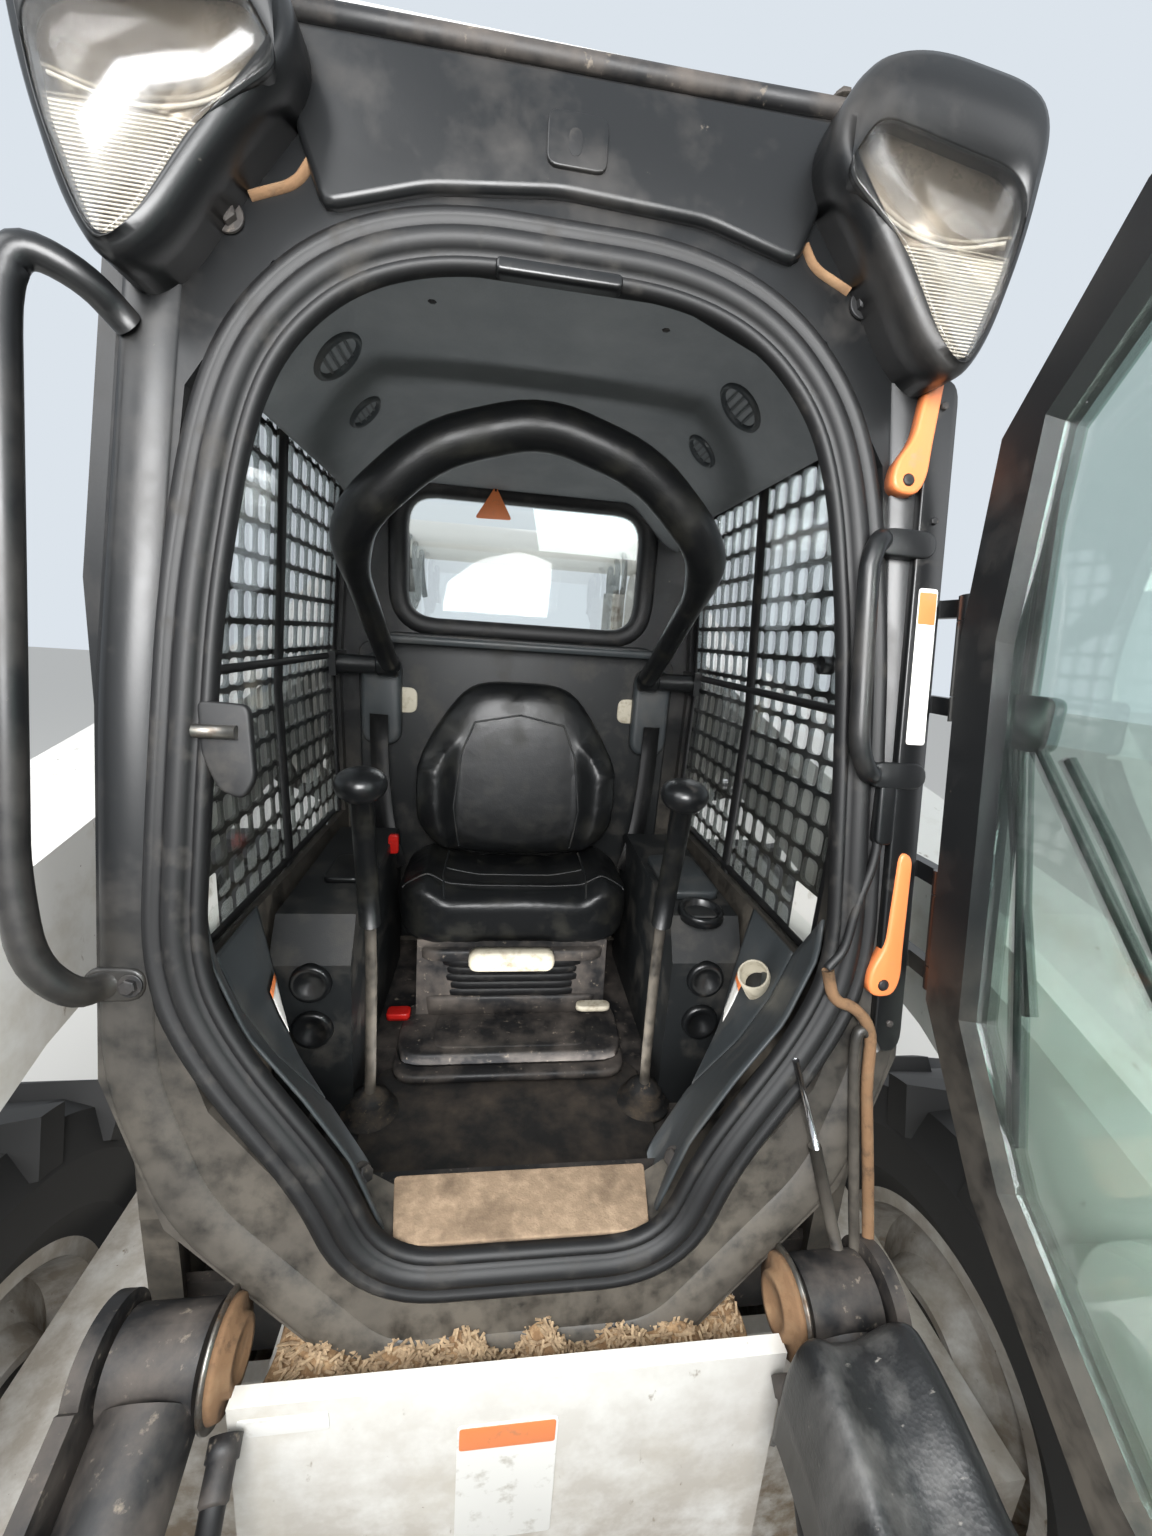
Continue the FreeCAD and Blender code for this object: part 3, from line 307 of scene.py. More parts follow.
# grit tread on the sill, tan with trodden dust
gritTread = finish("grit_tread", "worn_steel", "#86725D", 0.95, [("#A08A72", 14, 0.45, 0.7, 0.95, one), ("#5E4E3E", 50, 0.5, 0.75, 0.95, one)], [("noise", 2.2, 0.8)])
# studded rubber mat
floorMat = finish("rubber_floor_mat", "tyre_rubber", "#1D1C1B", 0.85, [("#4B4239", 60, 0.4, 0.75, 0.95, one)], [("cells", 14, 0.8)])
# vinyl stickers, left blank, and cream moulded plastic
blankLabel = finish("blank_vinyl_label", "white_paint", "#DCDBD6", 0.45, [("#A59F92", 25, 0.55, 0.75, 0.6, one)])
creamPlastic = finish("cream_polypropylene", "white_paint", "#B4AD9B", 0.45, [("#857A66", 18, 0.5, 0.75, 0.7, one)])
# tan bush and grease-caked dust on the pins
tanDust = finish("dust_caked_steel", "worn_steel", "#75593F", 0.9, [("#433325", 15, 0.5, 0.7, 0.95, one), ("#97795A", 30, 0.5, 0.75, 0.95, one)], [("noise", 6, 0.8)])
# rotomoulded polyethylene hose guard, grained, scuffed grey
guardPlastic = finish("scuffed_polyethylene", "black_plastic", "#1D1E1F", 0.38, [("#5A5957", 70, 0.50, 0.72, 0.65, (1, 1, 0.25)), ("#807C76", 9, 0.66, 0.74, 0.8, (0.3, 1, 1))], [("noise", 60, 2.0), ("cells", 3, 0.15)], IOR=1.51)
# soil and splintered wood caught on the ledge
chipSoil = finish("trodden_chips_and_soil", "worn_steel", "#7A5F43", 0.95, [("#A98E6C", 12, 0.45, 0.65, 0.95, one), ("#4A3726", 20, 0.55, 0.75, 0.95, one)], [("noise", 5, 2.0)])
woodChip = finish("wood_chips", "worn_steel", "#AD9678", 0.9, [("#6F5A44", 9, 0.4, 0.7, 0.9, one)])
print("materials made")

nodeLooks = {
    "black_powder_coat": ["cab_frame", "door_frame", "side_screens", "grab_handle", "seat_bar", "lamp_pods"],
    "white_enamel": ["main_frame", "upright_left", "upright_right", "lift_arms", "cab_roof", "hood", "tailgate"] + [f"rim_{a}_{s}" for a in ("front", "rear") for s in ("left", "right")],
    "dusty_black_steel": ["stub_axles", "tilt_ears", "tool_carrier", "bucket", "cab_floor", "seat_base"] + [f"{k}_barrel_{s}" for k in ("lift", "tilt") for s in ("left", "right")],
    "soil_polished_steel": ["bucket_edge", "exhaust_stack"],
    "sand_cast_iron": ["engine_block"],
    "grained_grey_liner": ["headliner"],
    "toughened_glass": ["rear_glass", "side_glass"],
    "green_tinted_glass": ["door_glass"],
    "seat_vinyl": ["seat_cushion", "seat_back"],
    "moulded_polypropylene": ["consoles", "levers"],
    "red_acrylic": ["tail_lamps"],
    "hard_chrome": [f"{k}_rod_{s}" for k in ("lift", "tilt") for s in ("left", "right")],
    "tyre_rubber": [f"tyre_{a}_{s}" for a in ("front", "rear") for s in ("left", "right")],
}
for look, names in nodeLooks.items():
    for name in names:
        for socket in nodes[name].material_slots:
            socket.material = bpy.data.materials[look]

# Camera, floor and light

camera = bpy.data.objects.new("camera", bpy.data.cameras.new("camera"))
bpy.context.collection.objects.link(camera)
bpy.context.scene.camera = camera
camera.data.lens = 13.52
camera.data.sensor_width = 36
camera.data.clip_start = 0.02
axes = np.array([[0.9904, -0.1206, 0.0676], [-0.0387, 0.2277, 0.9729], [-0.1327, -0.9662, 0.2208]])
u, s, v = np.linalg.svd(axes)
place = np.eye(4)
place[:3, :3] = (u @ v).T
place[:3, 3] = (-0.044, -0.730, 1.470)
camera.matrix_world = Matrix(place.tolist())

floor = bpy.data.objects.new("studio_floor", bpy.data.meshes.new("studio_floor"))
floor.data.from_pydata([(-20, -20, 0), (20, -20, 0), (20, 20, 0), (-20, 20, 0)], [], [(0, 1, 2, 3)])
bpy.context.collection.objects.link(floor)
floor.data.materials.append(finish("pale_floor", "white_paint", "#DAD8D2", 0.8))

world = bpy.data.worlds.new("studio")
bpy.context.scene.world = world
world.use_nodes = True
tree = world.node_tree
tree.nodes.clear()
rays = addNode(tree, "ShaderNodeLightPath")
seen = addNode(tree, "ShaderNodeMath", {"operation": "MAXIMUM"}, {0: rays.outputs["Is Camera Ray"], 1: rays.outputs["Is Glossy Ray"]})
seen = addNode(tree, "ShaderNodeMath", {"operation": "MAXIMUM"}, {0: seen.outputs[0], 1: rays.outputs["Is Transmission Ray"]})
soft = addNode(tree, "ShaderNodeBackground", {"Color": hexColour("#E9EEF5"), "Strength": 0.75})
pale = addNode(tree, "ShaderNodeBackground", {"Color": hexColour("#DCE4EC"), "Strength": 1.0})
both = addNode(tree, "ShaderNodeMixShader", (), {0: seen.outputs[0], 1: soft.outputs[0], 2: pale.outputs[0]})
addNode(tree, "ShaderNodeOutputWorld", (), {0: both.outputs[0]})

lampTable = {"key": ((-2.6, -2.2, 4.0), (0, 0.0, 1.2), 2.6, 120), "fill": ((2.8, -3.0, 2.6), (0, 0, 1.0), 3.0, 60),
             "back": ((1.5, 4.0, 3.6), (0, 0.5, 1.0), 3.0, 75), "cab": ((-0.1, -1.15, 1.85), (0.0, 0.5, 1.3), 0.6, 32),
             "liner": ((0.0, 0.05, 0.72), (0, 0.25, 1.80), 0.4, 5)}
for name, (where, target, size, power) in lampTable.items():
    lamp = bpy.data.objects.new("lamp_" + name, bpy.data.lights.new("lamp_" + name, "AREA"))
    bpy.context.collection.objects.link(lamp)
    lamp.data.energy, lamp.data.size = power, size
    lamp.visible_camera, lamp.visible_glossy = False, name != "liner"
    back = np.array(where, float) - np.array(target, float)
    back /= np.linalg.norm(back)
    right = np.cross([0, 0, 1.0], back)
    right /= np.linalg.norm(right)
    pose = np.eye(4)
    pose[:3, :3] = np.stack([right, np.cross(back, right), back], -1)
    pose[:3, 3] = where
    lamp.matrix_world = Matrix(pose.tolist())
print("camera, floor and light set")

# Cab ring: soft pressed outer edge and seal ridges

ringHalf = [(0.150, 0.746), (0.329, 0.921), (0.382, 1.063), (0.382, 1.390), (0.362, 1.700), (0.345, 1.954)]
sealHalf = [(0.133, 0.880), (0.170, 0.965), (0.265, 1.092), (0.298, 1.165), (0.292, 1.320), (0.283, 1.480), (0.262, 1.620), (0.235, 1.690), (0.180, 1.745), (0.100, 1.772)]


def bothHalves(half):
    return np.array(half + [(-x, z) for x, z in reversed(half)])


def ringPath(outline):
    return onRing(outline[:, 0], outline[:, 1])


cabRing = {"edge": 0.012, "back": 0.060}
outerLoop = resample(rounded(bothHalves(ringHalf), 0.05, 8, True), 220, True)
sealLoop = resample(rounded(bothHalves(sealHalf), 0.055, 9, True), 260, True)
arc = np.linspace(0, math.pi / 2, 6)
e = cabRing["edge"]
edgeProfile = np.concatenate([[(0.002, -cabRing["back"])], np.stack([0.002 - e + e * np.cos(arc), 0.003 - e + e * np.sin(arc)], -1), [(-0.045, 0.0025)], [(-0.047, -0.002)]])
sweep("ring_outer_edge", ringPath(outerLoop), edgeProfile[::-1], blackCoat, closed=True, up=ringNormal, ring=False)
# ridges from the opening outwards: lip, bulb, channel, second bulb, step down to the flat
ridge = [(0.030, -0.012), (0.004, -0.010), (-0.001, -0.006), (0.000, 0.002), (0.004, 0.006), (0.009, 0.006), (0.012, 0.001), (0.015, 0.000), (0.018, 0.005), (0.023, 0.0095),
         (0.030, 0.0105), (0.036, 0.0085), (0.040, 0.003), (0.044, 0.001), (0.048, 0.005), (0.054, 0.006), (0.058, 0.003), (0.062, 0.0005), (0.063, -0.003)]
sweep("door_seal", ringPath(sealLoop), np.array(ridge) * (0.84, 1), sealRubber, closed=True, up=ringNormal, ring=False)
print("ring dressed")

# Helpers: plates, bolts and pads

def facing(origin, right, up):  # lays flat (u, v, out) arrays on a plane: origin + u right + v up + out normal
    right, up = (np.asarray(d, float) / np.linalg.norm(d) for d in (right, up))
    return lambda u, v, out: np.asarray(origin, float) + np.multiply.outer(u, right) + np.multiply.outer(v, up) + np.multiply.outer(out, np.cross(right, up))


def roundRect(width, height, radius, x=0.0, y=0.0):  # outline of a rectangle with rounded corners about (x, y)
    w, h = width / 2, height / 2
    return rounded([(-w, -h), (w, -h), (w, h), (-w, h)], radius * 1.7, 6, True) + (x, y)


def smooth(t):  # 3tt - 2ttt between 0 and 1
    t = np.clip(t, 0, 1)
    return t * t * (3 - 2 * t)


def boltRow(name, places, normal, radius, material, body="machine", **more):  # washer under a hexagon head at every place
    normal = np.asarray(normal, float) / np.linalg.norm(normal)
    u = np.cross(normal, (0.31, 0.17, 0.93))
    u /= np.linalg.norm(u)
    v = np.cross(normal, u)
    a = np.linspace(0, 2 * math.pi, 24, endpoint=False)
    hexagon = math.cos(math.pi / 6) / np.cos(np.mod(a, math.pi / 3) - math.pi / 6)
    profile = np.array([(1.45, -0.05, 0), (1.45, 0.18, 0), (1.38, 0.24, 0), (1.0, 0.25, 1), (1.0, 0.80, 1), (0.82, 0.95, 1), (0.02, 1.0, 1)])
    r = profile[:, 0] * (1 + (hexagon[:, None] - 1) * profile[:, 2])
    shape = (r * np.cos(a)[:, None])[..., None] * u + (r * np.sin(a)[:, None])[..., None] * v + profile[:, 1][None, :, None] * normal
    points = np.asarray(places, float).reshape(-1, 1, 1, 3) + radius * shape
    faces = gridFaces(24, 7, True, False)
    count = len(points)
    faces = (faces[None] + (np.arange(count) * 24 * 7)[:, None, None]).reshape(-1, 4)
    return outward(addMesh(name, points, faces.tolist(), material, body, smooth=False, **more))


def bars(name, starts, ends, width, thick, out, material, body="machine", **more):
    # flat bars with square ends, from start to end; out is the way the thickness goes
    starts, ends, out = np.asarray(starts, float), np.asarray(ends, float), np.asarray(out, float)
    along = ends - starts
    along /= np.linalg.norm(along, axis=1, keepdims=True)
    side = np.cross(along, out)
    side /= np.linalg.norm(side, axis=1, keepdims=True)
    corners = np.array([(-0.5, 0), (0.5, 0), (0.5, 1), (-0.5, 1)])
    ring = width * corners[None, :, :1] * side[:, None] + thick * corners[None, :, 1:] * np.broadcast_to(out, along.shape)[:, None]
    points = np.stack([starts[:, None] + ring, ends[:, None] + ring], 1)
    block = np.array([(0, 3, 2, 1), (4, 5, 6, 7), (0, 1, 5, 4), (1, 2, 6, 5), (2, 3, 7, 6), (3, 0, 4, 7)])
    faces = (block[None] + (np.arange(len(starts)) * 8)[:, None, None]).reshape(-1, 4)
    return outward(addMesh(name, points, faces.tolist(), material, body, smooth=False, **more))


def thicken(piece, amount):
    wall = piece.modifiers.new("wall", "SOLIDIFY")
    wall.thickness, wall.offset = amount, 1.0
    return piece


def pillow(name, place, halves, boxiness, reshape, material, body, cap, fill, **more):
    # superellipsoid x, y, z = signed powers of sines and cosines, reshaped, then filled by the cloth solver within a cap
    t, f = np.meshgrid(np.linspace(-math.pi / 2, math.pi / 2, 49)[1:-1], np.linspace(0, 2 * math.pi, 72, endpoint=False), indexing="ij")
    power = lambda v: np.sign(v) * np.abs(v) ** boxiness
    flat = np.stack([halves[0] * power(np.sin(t)), halves[1] * power(np.cos(t)) * power(np.cos(f)), halves[2] * power(np.cos(t)) * power(np.sin(f))], -1)
    faces = gridFaces(47, 72, False, True).tolist() + [list(range(72))[::-1], list(range(46 * 72, 47 * 72))]
    piece = outward(addMesh(name, reshape(flat) + place, faces, material, body, **more))
    grid = piece.modifiers.new("voxels", "REMESH")
    grid.mode, grid.voxel_size = "VOXEL", 0.006
    piece.data = bpy.data.meshes.new_from_object(piece.evaluated_get(bpy.context.evaluated_depsgraph_get()))
    piece.modifiers.clear()
    rest = np.empty(len(piece.data.vertices) * 3)
    piece.data.vertices.foreach_get("co", rest)
    cloth = piece.modifiers.new("fill", "CLOTH")
    cloth.settings.use_pressure, cloth.settings.uniform_pressure_force = True, 4.0
    cloth.settings.effector_weights.gravity = 0.0
    for frameNumber in range(1, 21):
        bpy.context.scene.frame_set(frameNumber)
    filled = np.empty_like(rest)
    solved = piece.evaluated_get(bpy.context.evaluated_depsgraph_get()).to_mesh()
    solved.vertices.foreach_get("co", filled)
    piece.modifiers.clear()
    bpy.context.scene.frame_set(1)
    move = (filled - rest).reshape(-1, 3)
    length = np.maximum(np.linalg.norm(move, axis=1, keepdims=True), 1e-9)
    piece.data.vertices.foreach_set("co", (rest.reshape(-1, 3) + move * np.minimum(1, cap / length)).ravel())
    piece.data.update()
    piece.data.polygons.foreach_set("use_smooth", [True] * len(piece.data.polygons))
    finer = piece.modifiers.new("finer", "SUBSURF")
    finer.levels = finer.render_levels = 1
    return piece


# Lamps in the ring's upper corners: pod, reflector bowl, ribs, bulb and domed clear lens

def loft(name, rings, place, material, body="machine", **more):
    # closed shape through outlines of equal count, each with its own height out
    n = len(rings[0][0])
    flat = np.concatenate([np.concatenate([o, np.full((n, 1), out)], 1) for o, out in rings])
    faces = gridFaces(len(rings), n, False, True).tolist() + [list(range(n))[::-1], list(range(len(flat) - n, len(flat)))]
    return outward(addMesh(name, place(flat[:, 0], flat[:, 1], flat[:, 2]), faces, material, body, **more))


lampShape = {"pod": [(0.341, 1.707), (0.368, 1.745), (0.395, 1.830), (0.412, 1.925), (0.392, 1.958), (0.290, 1.970), (0.236, 1.953), (0.205, 1.885), (0.265, 1.799), (0.305, 1.732)],
             "lens": [(0.340, 1.718), (0.352, 1.732), (0.378, 1.800), (0.390, 1.862), (0.372, 1.884), (0.246, 1.906), (0.217, 1.858), (0.278, 1.806), (0.316, 1.740)],
             "heart": (0.318, 1.822), "face": 0.0592, "ribs": 28, "ribLow": 1.732, "ribHigh": 1.812}
podPlace = lambda u, v, out: at(u, lean * (v - leanFrom) - out * math.hypot(1, lean), v)
for side, word in bothSides:
    pod, lens = (resample(rounded(np.array(lampShape[k]) * (side, 1), r, 8, True), 96, True) for k, r in (("pod", 0.034), ("lens", 0.018)))
    heart, face = np.array(lampShape["heart"]) * (side, 1), lampShape["face"]
    more = {"replaces": ("lamp_pods",)} if side > 0 else {}
    loft("lamp_pod_" + word, [(pod, 0.0), (pod, 0.045), (inset(pod, 0.0015), 0.051), (inset(pod, 0.005), 0.0562), (inset(pod, 0.011), face - 0.0004), (lens, face), (inset(lens, 0.0006), face - 0.002),
                              (inset(lens, 0.002), face - 0.008), (inset(lens, 0.0025), 0.006)], podPlace, blackCoat, **more)
    loft("lamp_bowl_" + word, [(inset(lens, 0.0030), face - 0.012)] + [(heart + (inset(lens, 0.003) - heart) * (1 - k), face - 0.012 - 0.026 * k ** 0.6) for k in (0.1, 0.25, 0.45, 0.65, 0.85, 0.95)], podPlace, reflector)
    slab("lamp_lens_" + word, inset(lens, 0.0012), lambda u, v, out: podPlace(u, v, out + face - 0.006), 0.007, 0.003, lensPlastic, "machine", dome=0.003)
    z = np.linspace(lampShape["ribLow"], lampShape["ribHigh"], lampShape["ribs"])
    outer, inner = np.interp(z, (1.732, 1.800, 1.862), (0.352, 0.378, 0.390)) - 0.005, np.interp(z, (1.740, 1.806, 1.858), (0.316, 0.278, 0.217)) + 0.007
    bars("lamp_ribs_" + word, podPlace(side * outer, z, face - 0.009), podPlace(side * inner, z, face - 0.009), 0.0013, 0.0012, ringNormal, ribPlastic)
    lathe("lamp_bulb_" + word, podPlace(np.float64(0.316 * side), np.float64(1.848), np.float64(0.022)), ringNormal, [(0.0, 0.022), (0.008, 0.020), (0.011, 0.013), (0.010, 0.004), (0.015, 0.002), (0.016, 0.0)], bareSteel)
    tube("lamp_arc_" + word, podPlace(side * np.array([0.236, 0.272, 0.325, 0.376]), np.array([1.858, 1.826, 1.816, 1.830]), np.full(4, face - 0.009)), 0.0014, ribPlastic, bend=0.03, count=8)
print("lamps made")

# Header between the lamps: pressed panel, latch plate with an oval hole, dusty top edge, beads

headerSize = {"low": [(-0.205, 1.796), (-0.120, 1.824), (-0.011, 1.838), (0.120, 1.834), (0.208, 1.812)], "high": [(0.232, 1.880), (0.243, 1.936), (-0.240, 1.930), (-0.228, 1.860)]}
header = resample(rounded(headerSize["low"] + headerSize["high"], 0.012, 5, True), 120, True)
slab("header_panel", header, onRing, 0.010, 0.006, blackCoat)
slab("header_plate", roundRect(0.052, 0.044, 0.006, 0.002, 1.876), onRing, 0.0135, 0.0015, blackCoat)
slab("header_hole", roundRect(0.012, 0.022, 0.006, 0.000, 1.874), onRing, 0.0138, 0.0002, sealRubber)
tube("header_edge", onRing(np.array([-0.243, -0.1, 0.1, 0.245]), np.array([1.941, 1.943, 1.945, 1.948]), 0.006), 0.0075, dustySteel)
slab("header_strip", roundRect(0.110, 0.012, 0.003, -0.008, 1.772), onRing, 0.0125, 0.003, glossPlastic)
for side, word in bothSides:
    tube("corner_bead_" + word, onRing(side * np.array([0.262, 0.226, 0.216]), np.array([1.800, 1.815, 1.833]), 0.001), 0.005, tanDust, bend=0.012, squash=0.6)
boltRow("ring_bolts", onRing(np.array([-0.279, 0.277]), np.array([1.782, 1.790]), 0.002), ringNormal, 0.009, dustySteel)
print("header made")

# Grab handles: bent tubes with foot and tabs

handleRun = {"x": (-0.353, -0.366, -0.400, -0.410, -0.411, -0.402, -0.380, -0.373), "z": (1.690, 1.704, 1.712, 1.680, 1.260, 1.186, 1.152, 1.150), "out": (0.002, 0.030, 0.046, 0.048, 0.048, 0.046, 0.030, 0.002)}
tube("grab_handle_tube", onRing(np.array(handleRun["x"]), np.array(handleRun["z"]), np.array(handleRun["out"])), 0.012, blackCoat, bend=0.030, count=16, replaces=("grab_handle",))
slab("handle_foot", roundRect(0.050, 0.030, 0.010, -0.366, 1.150), onRing, 0.006, 0.003, blackCoat)
boltRow("handle_bolt", onRing(np.array([-0.352]), np.array([1.150]), 0.006), ringNormal, 0.007, dustySteel)
tube("inner_handle", onRing(np.array([0.311, 0.304, 0.292, 0.296, 0.310, 0.322]), np.array([1.577, 1.578, 1.555, 1.385, 1.358, 1.356]), np.array([0.010, 0.018, 0.022, 0.022, 0.018, 0.010])), 0.0095, blackCoat, bend=0.022, count=16)
for x, z in ((0.336, 1.577), (0.347, 1.356)):
    slab(f"inner_handle_tab_{round(z * 1000)}", roundRect(0.060, 0.026, 0.010, x, z), onRing, 0.0140, 0.002, blackCoat)

# Door side of the ring: long hinge plate, orange release levers, blank label

hingePlate = {"width": 0.030, "low": 1.075, "high": 1.730, "x": 0.362}
slab("hinge_plate", roundRect(hingePlate["width"], hingePlate["high"] - hingePlate["low"], 0.013, hingePlate["x"], (hingePlate["high"] + hingePlate["low"]) / 2), onRing, 0.0115, 0.002, glossPlastic)
leverForm = np.array([(-0.016, -0.010), (0.010, -0.014), (0.020, 0.004), (0.022, 0.030), (0.034, 0.128), (0.020, 0.134), (0.004, 0.040), (-0.014, 0.014)])
for word, x, z, tilt in (("upper", 0.330, 1.634, 0.00), ("lower", 0.350, 1.146, 0.10)):
    turn = np.array([[math.cos(tilt), math.sin(tilt)], [-math.sin(tilt), math.cos(tilt)]])
    slab("release_lever_" + word, rounded(leverForm @ turn + (x, z), 0.012, 5, True), onRing, 0.0145, 0.003, orangeNylon)
    lathe("release_pivot_" + word, onRing(x, z, 0.0145), ringNormal, [(0.0, 0.001), (0.004, 0.001), (0.006, 0.0)], dustySteel, "machine", 20)
slab("plate_label", roundRect(0.020, 0.150, 0.002, hingePlate["x"] + 0.001, 1.462), onRing, 0.0120, 0.0002, blankLabel)
slab("plate_label_band", roundRect(0.018, 0.030, 0.001, hingePlate["x"] + 0.001, 1.518), onRing, 0.0122, 0.0001, orangeNylon)
boltRow("hinge_plate_bolts", onRing(np.full(3, hingePlate["x"]), np.array([1.105, 1.600, 1.705]), 0.0105), ringNormal, 0.0038, dustySteel)
# photo-left side: latch striker with its rubber flap
tube("latch_striker", onRing(np.array([-0.300, -0.266]), np.array([1.370, 1.370]), 0.010), 0.006, bareSteel)
slab("latch_flap", rounded([(-0.300, 1.396), (-0.258, 1.394), (-0.252, 1.330), (-0.262, 1.312), (-0.282, 1.320), (-0.296, 1.350)], 0.008, 5, True), onRing, 0.007, 0.003, sealRubber)
print("ring fittings made")


# Side screens: punched sheet, one rounded cell repeated, over sliding glass with rubber rails

def wallX(z):  # the cab wall's outer half width at a height
    return np.interp(z, (0.640, 1.350, 1.954), (0.430, 0.445, 0.405))


screenSize = {"front": 0.252, "rear": 0.938, "low": 1.032, "high": 1.793, "columns": 15, "rows": 16, "web": 0.0042, "corner": 0.009, "thick": 0.0045, "depth": 0.013}
for side, word in bothSides:
    s = screenSize
    hy, hz = (s["rear"] - s["front"]) / s["columns"] / 2, (s["high"] - s["low"]) / s["rows"] / 2
    r = s["corner"]
    quarter = np.radians([0, 45, 90])
    hole, edge = [], []
    for k in range(4):
        cy, cz = ((1, 1), (-1, 1), (-1, -1), (1, -1))[k]
        hole.append(np.stack([cy * (hy - s["web"] - r) + r * np.cos(quarter + k * math.pi / 2), cz * (hz - s["web"] - r) + r * np.sin(quarter + k * math.pi / 2)], -1))
        a, b = ((cy * hy, cz * (hz - s["web"] - r)), (cy * (hy - s["web"] - r), cz * hz))
        edge.append(np.array([a, (cy * hy, cz * hz), b] if k % 2 == 0 else [b, (cy * hy, cz * hz), a]))
    cell = np.concatenate(edge + hole)
    y0 = s["front"] + hy + 2 * hy * np.arange(s["columns"])
    z0 = s["low"] + hz + 2 * hz * np.arange(s["rows"])
    grid = np.stack(np.meshgrid(y0, z0, indexing="ij"), -1).reshape(-1, 1, 2)
    grid = grid[~((grid[:, 0, 0] > s["rear"] - 2 * hy) & (grid[:, 0, 1] > s["high"] - 2 * hz))]
    flat = (grid + cell[None]).reshape(-1, 2)
    one12 = np.arange(12)
    quads = np.stack([one12, (one12 + 1) % 12, 12 + (one12 + 1) % 12, 12 + one12], -1)
    faces = (quads[None] + (np.arange(len(grid)) * 24)[:, None, None]).reshape(-1, 4)
    sheet = addMesh("screen_" + word, at(side * (wallX(flat[:, 1]) - s["depth"]), flat[:, 0], flat[:, 1]), faces.tolist(), blackCoat, "machine", smooth=False, **({"replaces": ("side_screens",)} if side > 0 else {}))
    work = bmesh.new()
    work.from_mesh(sheet.data)
    bmesh.ops.remove_doubles(work, verts=work.verts, dist=0.0004)
    bmesh.ops.recalc_face_normals(work, faces=work.faces)
    work.to_mesh(sheet.data)
    work.free()
    thicken(sheet, s["thick"]).modifiers["wall"].offset = 0.0
    for y, name, wide in ((0.262, "front", 0.022), (0.600, "middle", 0.030), (0.928, "rear", 0.022)):
        heights = np.array([s["low"], 1.35, s["high"] - (0.060 if name == "rear" else 0.0)])
        sweep(f"window_post_{name}_{word}", at(side * (wallX(heights) - 0.022), y, heights), np.array([(-wide / 2, -0.004), (wide / 2, -0.004), (wide / 2, 0.004), (-wide / 2, 0.004)]), sealRubber, up=(side, 0, 0))
    for z in (1.045, 1.395, 1.780):
        tube(f"window_rail_{round(z * 1000)}_{word}", at(side * (wallX(z) - 0.022), np.array([0.255, 0.880]), z), 0.007, sealRubber, count=8)
    tube("window_knob_" + word, at(side * np.array([0.412, 0.395]), 0.330, 1.455), 0.013, glossPlastic)
print("screens made")

# Headliner: a moulded shell that turns down at both sides and over the rear window

liner = {"half": 0.352, "front": 0.215, "rear": 0.955, "height": 1.814, "drop": 0.095, "shoulder": 0.215, "rearDrop": 0.035}
x, y = np.meshgrid(np.linspace(-liner["half"], liner["half"], 81), np.linspace(liner["front"], liner["rear"], 49), indexing="ij")


def linerHeight(x, y):
    side = smooth((np.abs(x) - liner["shoulder"]) / (liner["half"] - liner["shoulder"]))
    return liner["height"] - liner["drop"] * side * smooth((y - 0.19) / 0.10) - liner["rearDrop"] * smooth((y - 0.70) / 0.25)


thicken(addMesh("headliner_shell", at(x, y, linerHeight(x, y)), gridFaces(81, 49, False, False).tolist(), greyLiner, "machine", replaces=("headliner",)), 0.004)
for side, word in bothSides:
    for size, x, y, radius in (("large", 0.262, 0.390, 0.037), ("small", 0.268, 0.560, 0.030)):
        d = 0.002
        slopeX = (linerHeight(x + d, y) - linerHeight(x - d, y)) / (2 * d)
        slopeY = (linerHeight(x, y + d) - linerHeight(x, y - d)) / (2 * d)
        normal = -np.array([-slopeX * side, -slopeY, 1.0])
        normal /= np.linalg.norm(normal)
        centre = at(side * x, y, linerHeight(x, y))
        lathe(f"vent_bezel_{size}_{word}", centre, normal, [(radius * 0.72, 0.001), (radius * 0.76, 0.008), (radius * 0.86, 0.011), (radius * 0.97, 0.008), (radius, -0.002)], greyTrim, "machine", 40)
        lathe(f"vent_disc_{size}_{word}", centre, normal, [(0.0, 0.004), (radius * 0.45, 0.0035), (radius * 0.74, 0.002), (radius * 0.74, -0.004)], darkTrim, "machine", 32)
        across = np.cross(normal, (0, 1, 0))
        across /= np.linalg.norm(across)
        along = np.cross(across, normal)
        step = np.array([-0.45, -0.15, 0.15, 0.45])[:, None] * radius
        reach = np.sqrt((radius * 0.72) ** 2 - step ** 2)
        bars(f"vent_slats_{size}_{word}", centre + step * across - reach * along + 0.003 * normal, centre + step * across + reach * along + 0.003 * normal, 0.003, 0.004, normal, greyTrim)
boltRow("headliner_screws", at(np.array([-0.134, 0.122]), np.array([0.291, 0.281]), linerHeight(np.array([-0.134, 0.122]), 0.285)), (0, 0, -1), 0.005, dustySteel)

# Rear wall: window frame, ledge, trim with niches, pull tag

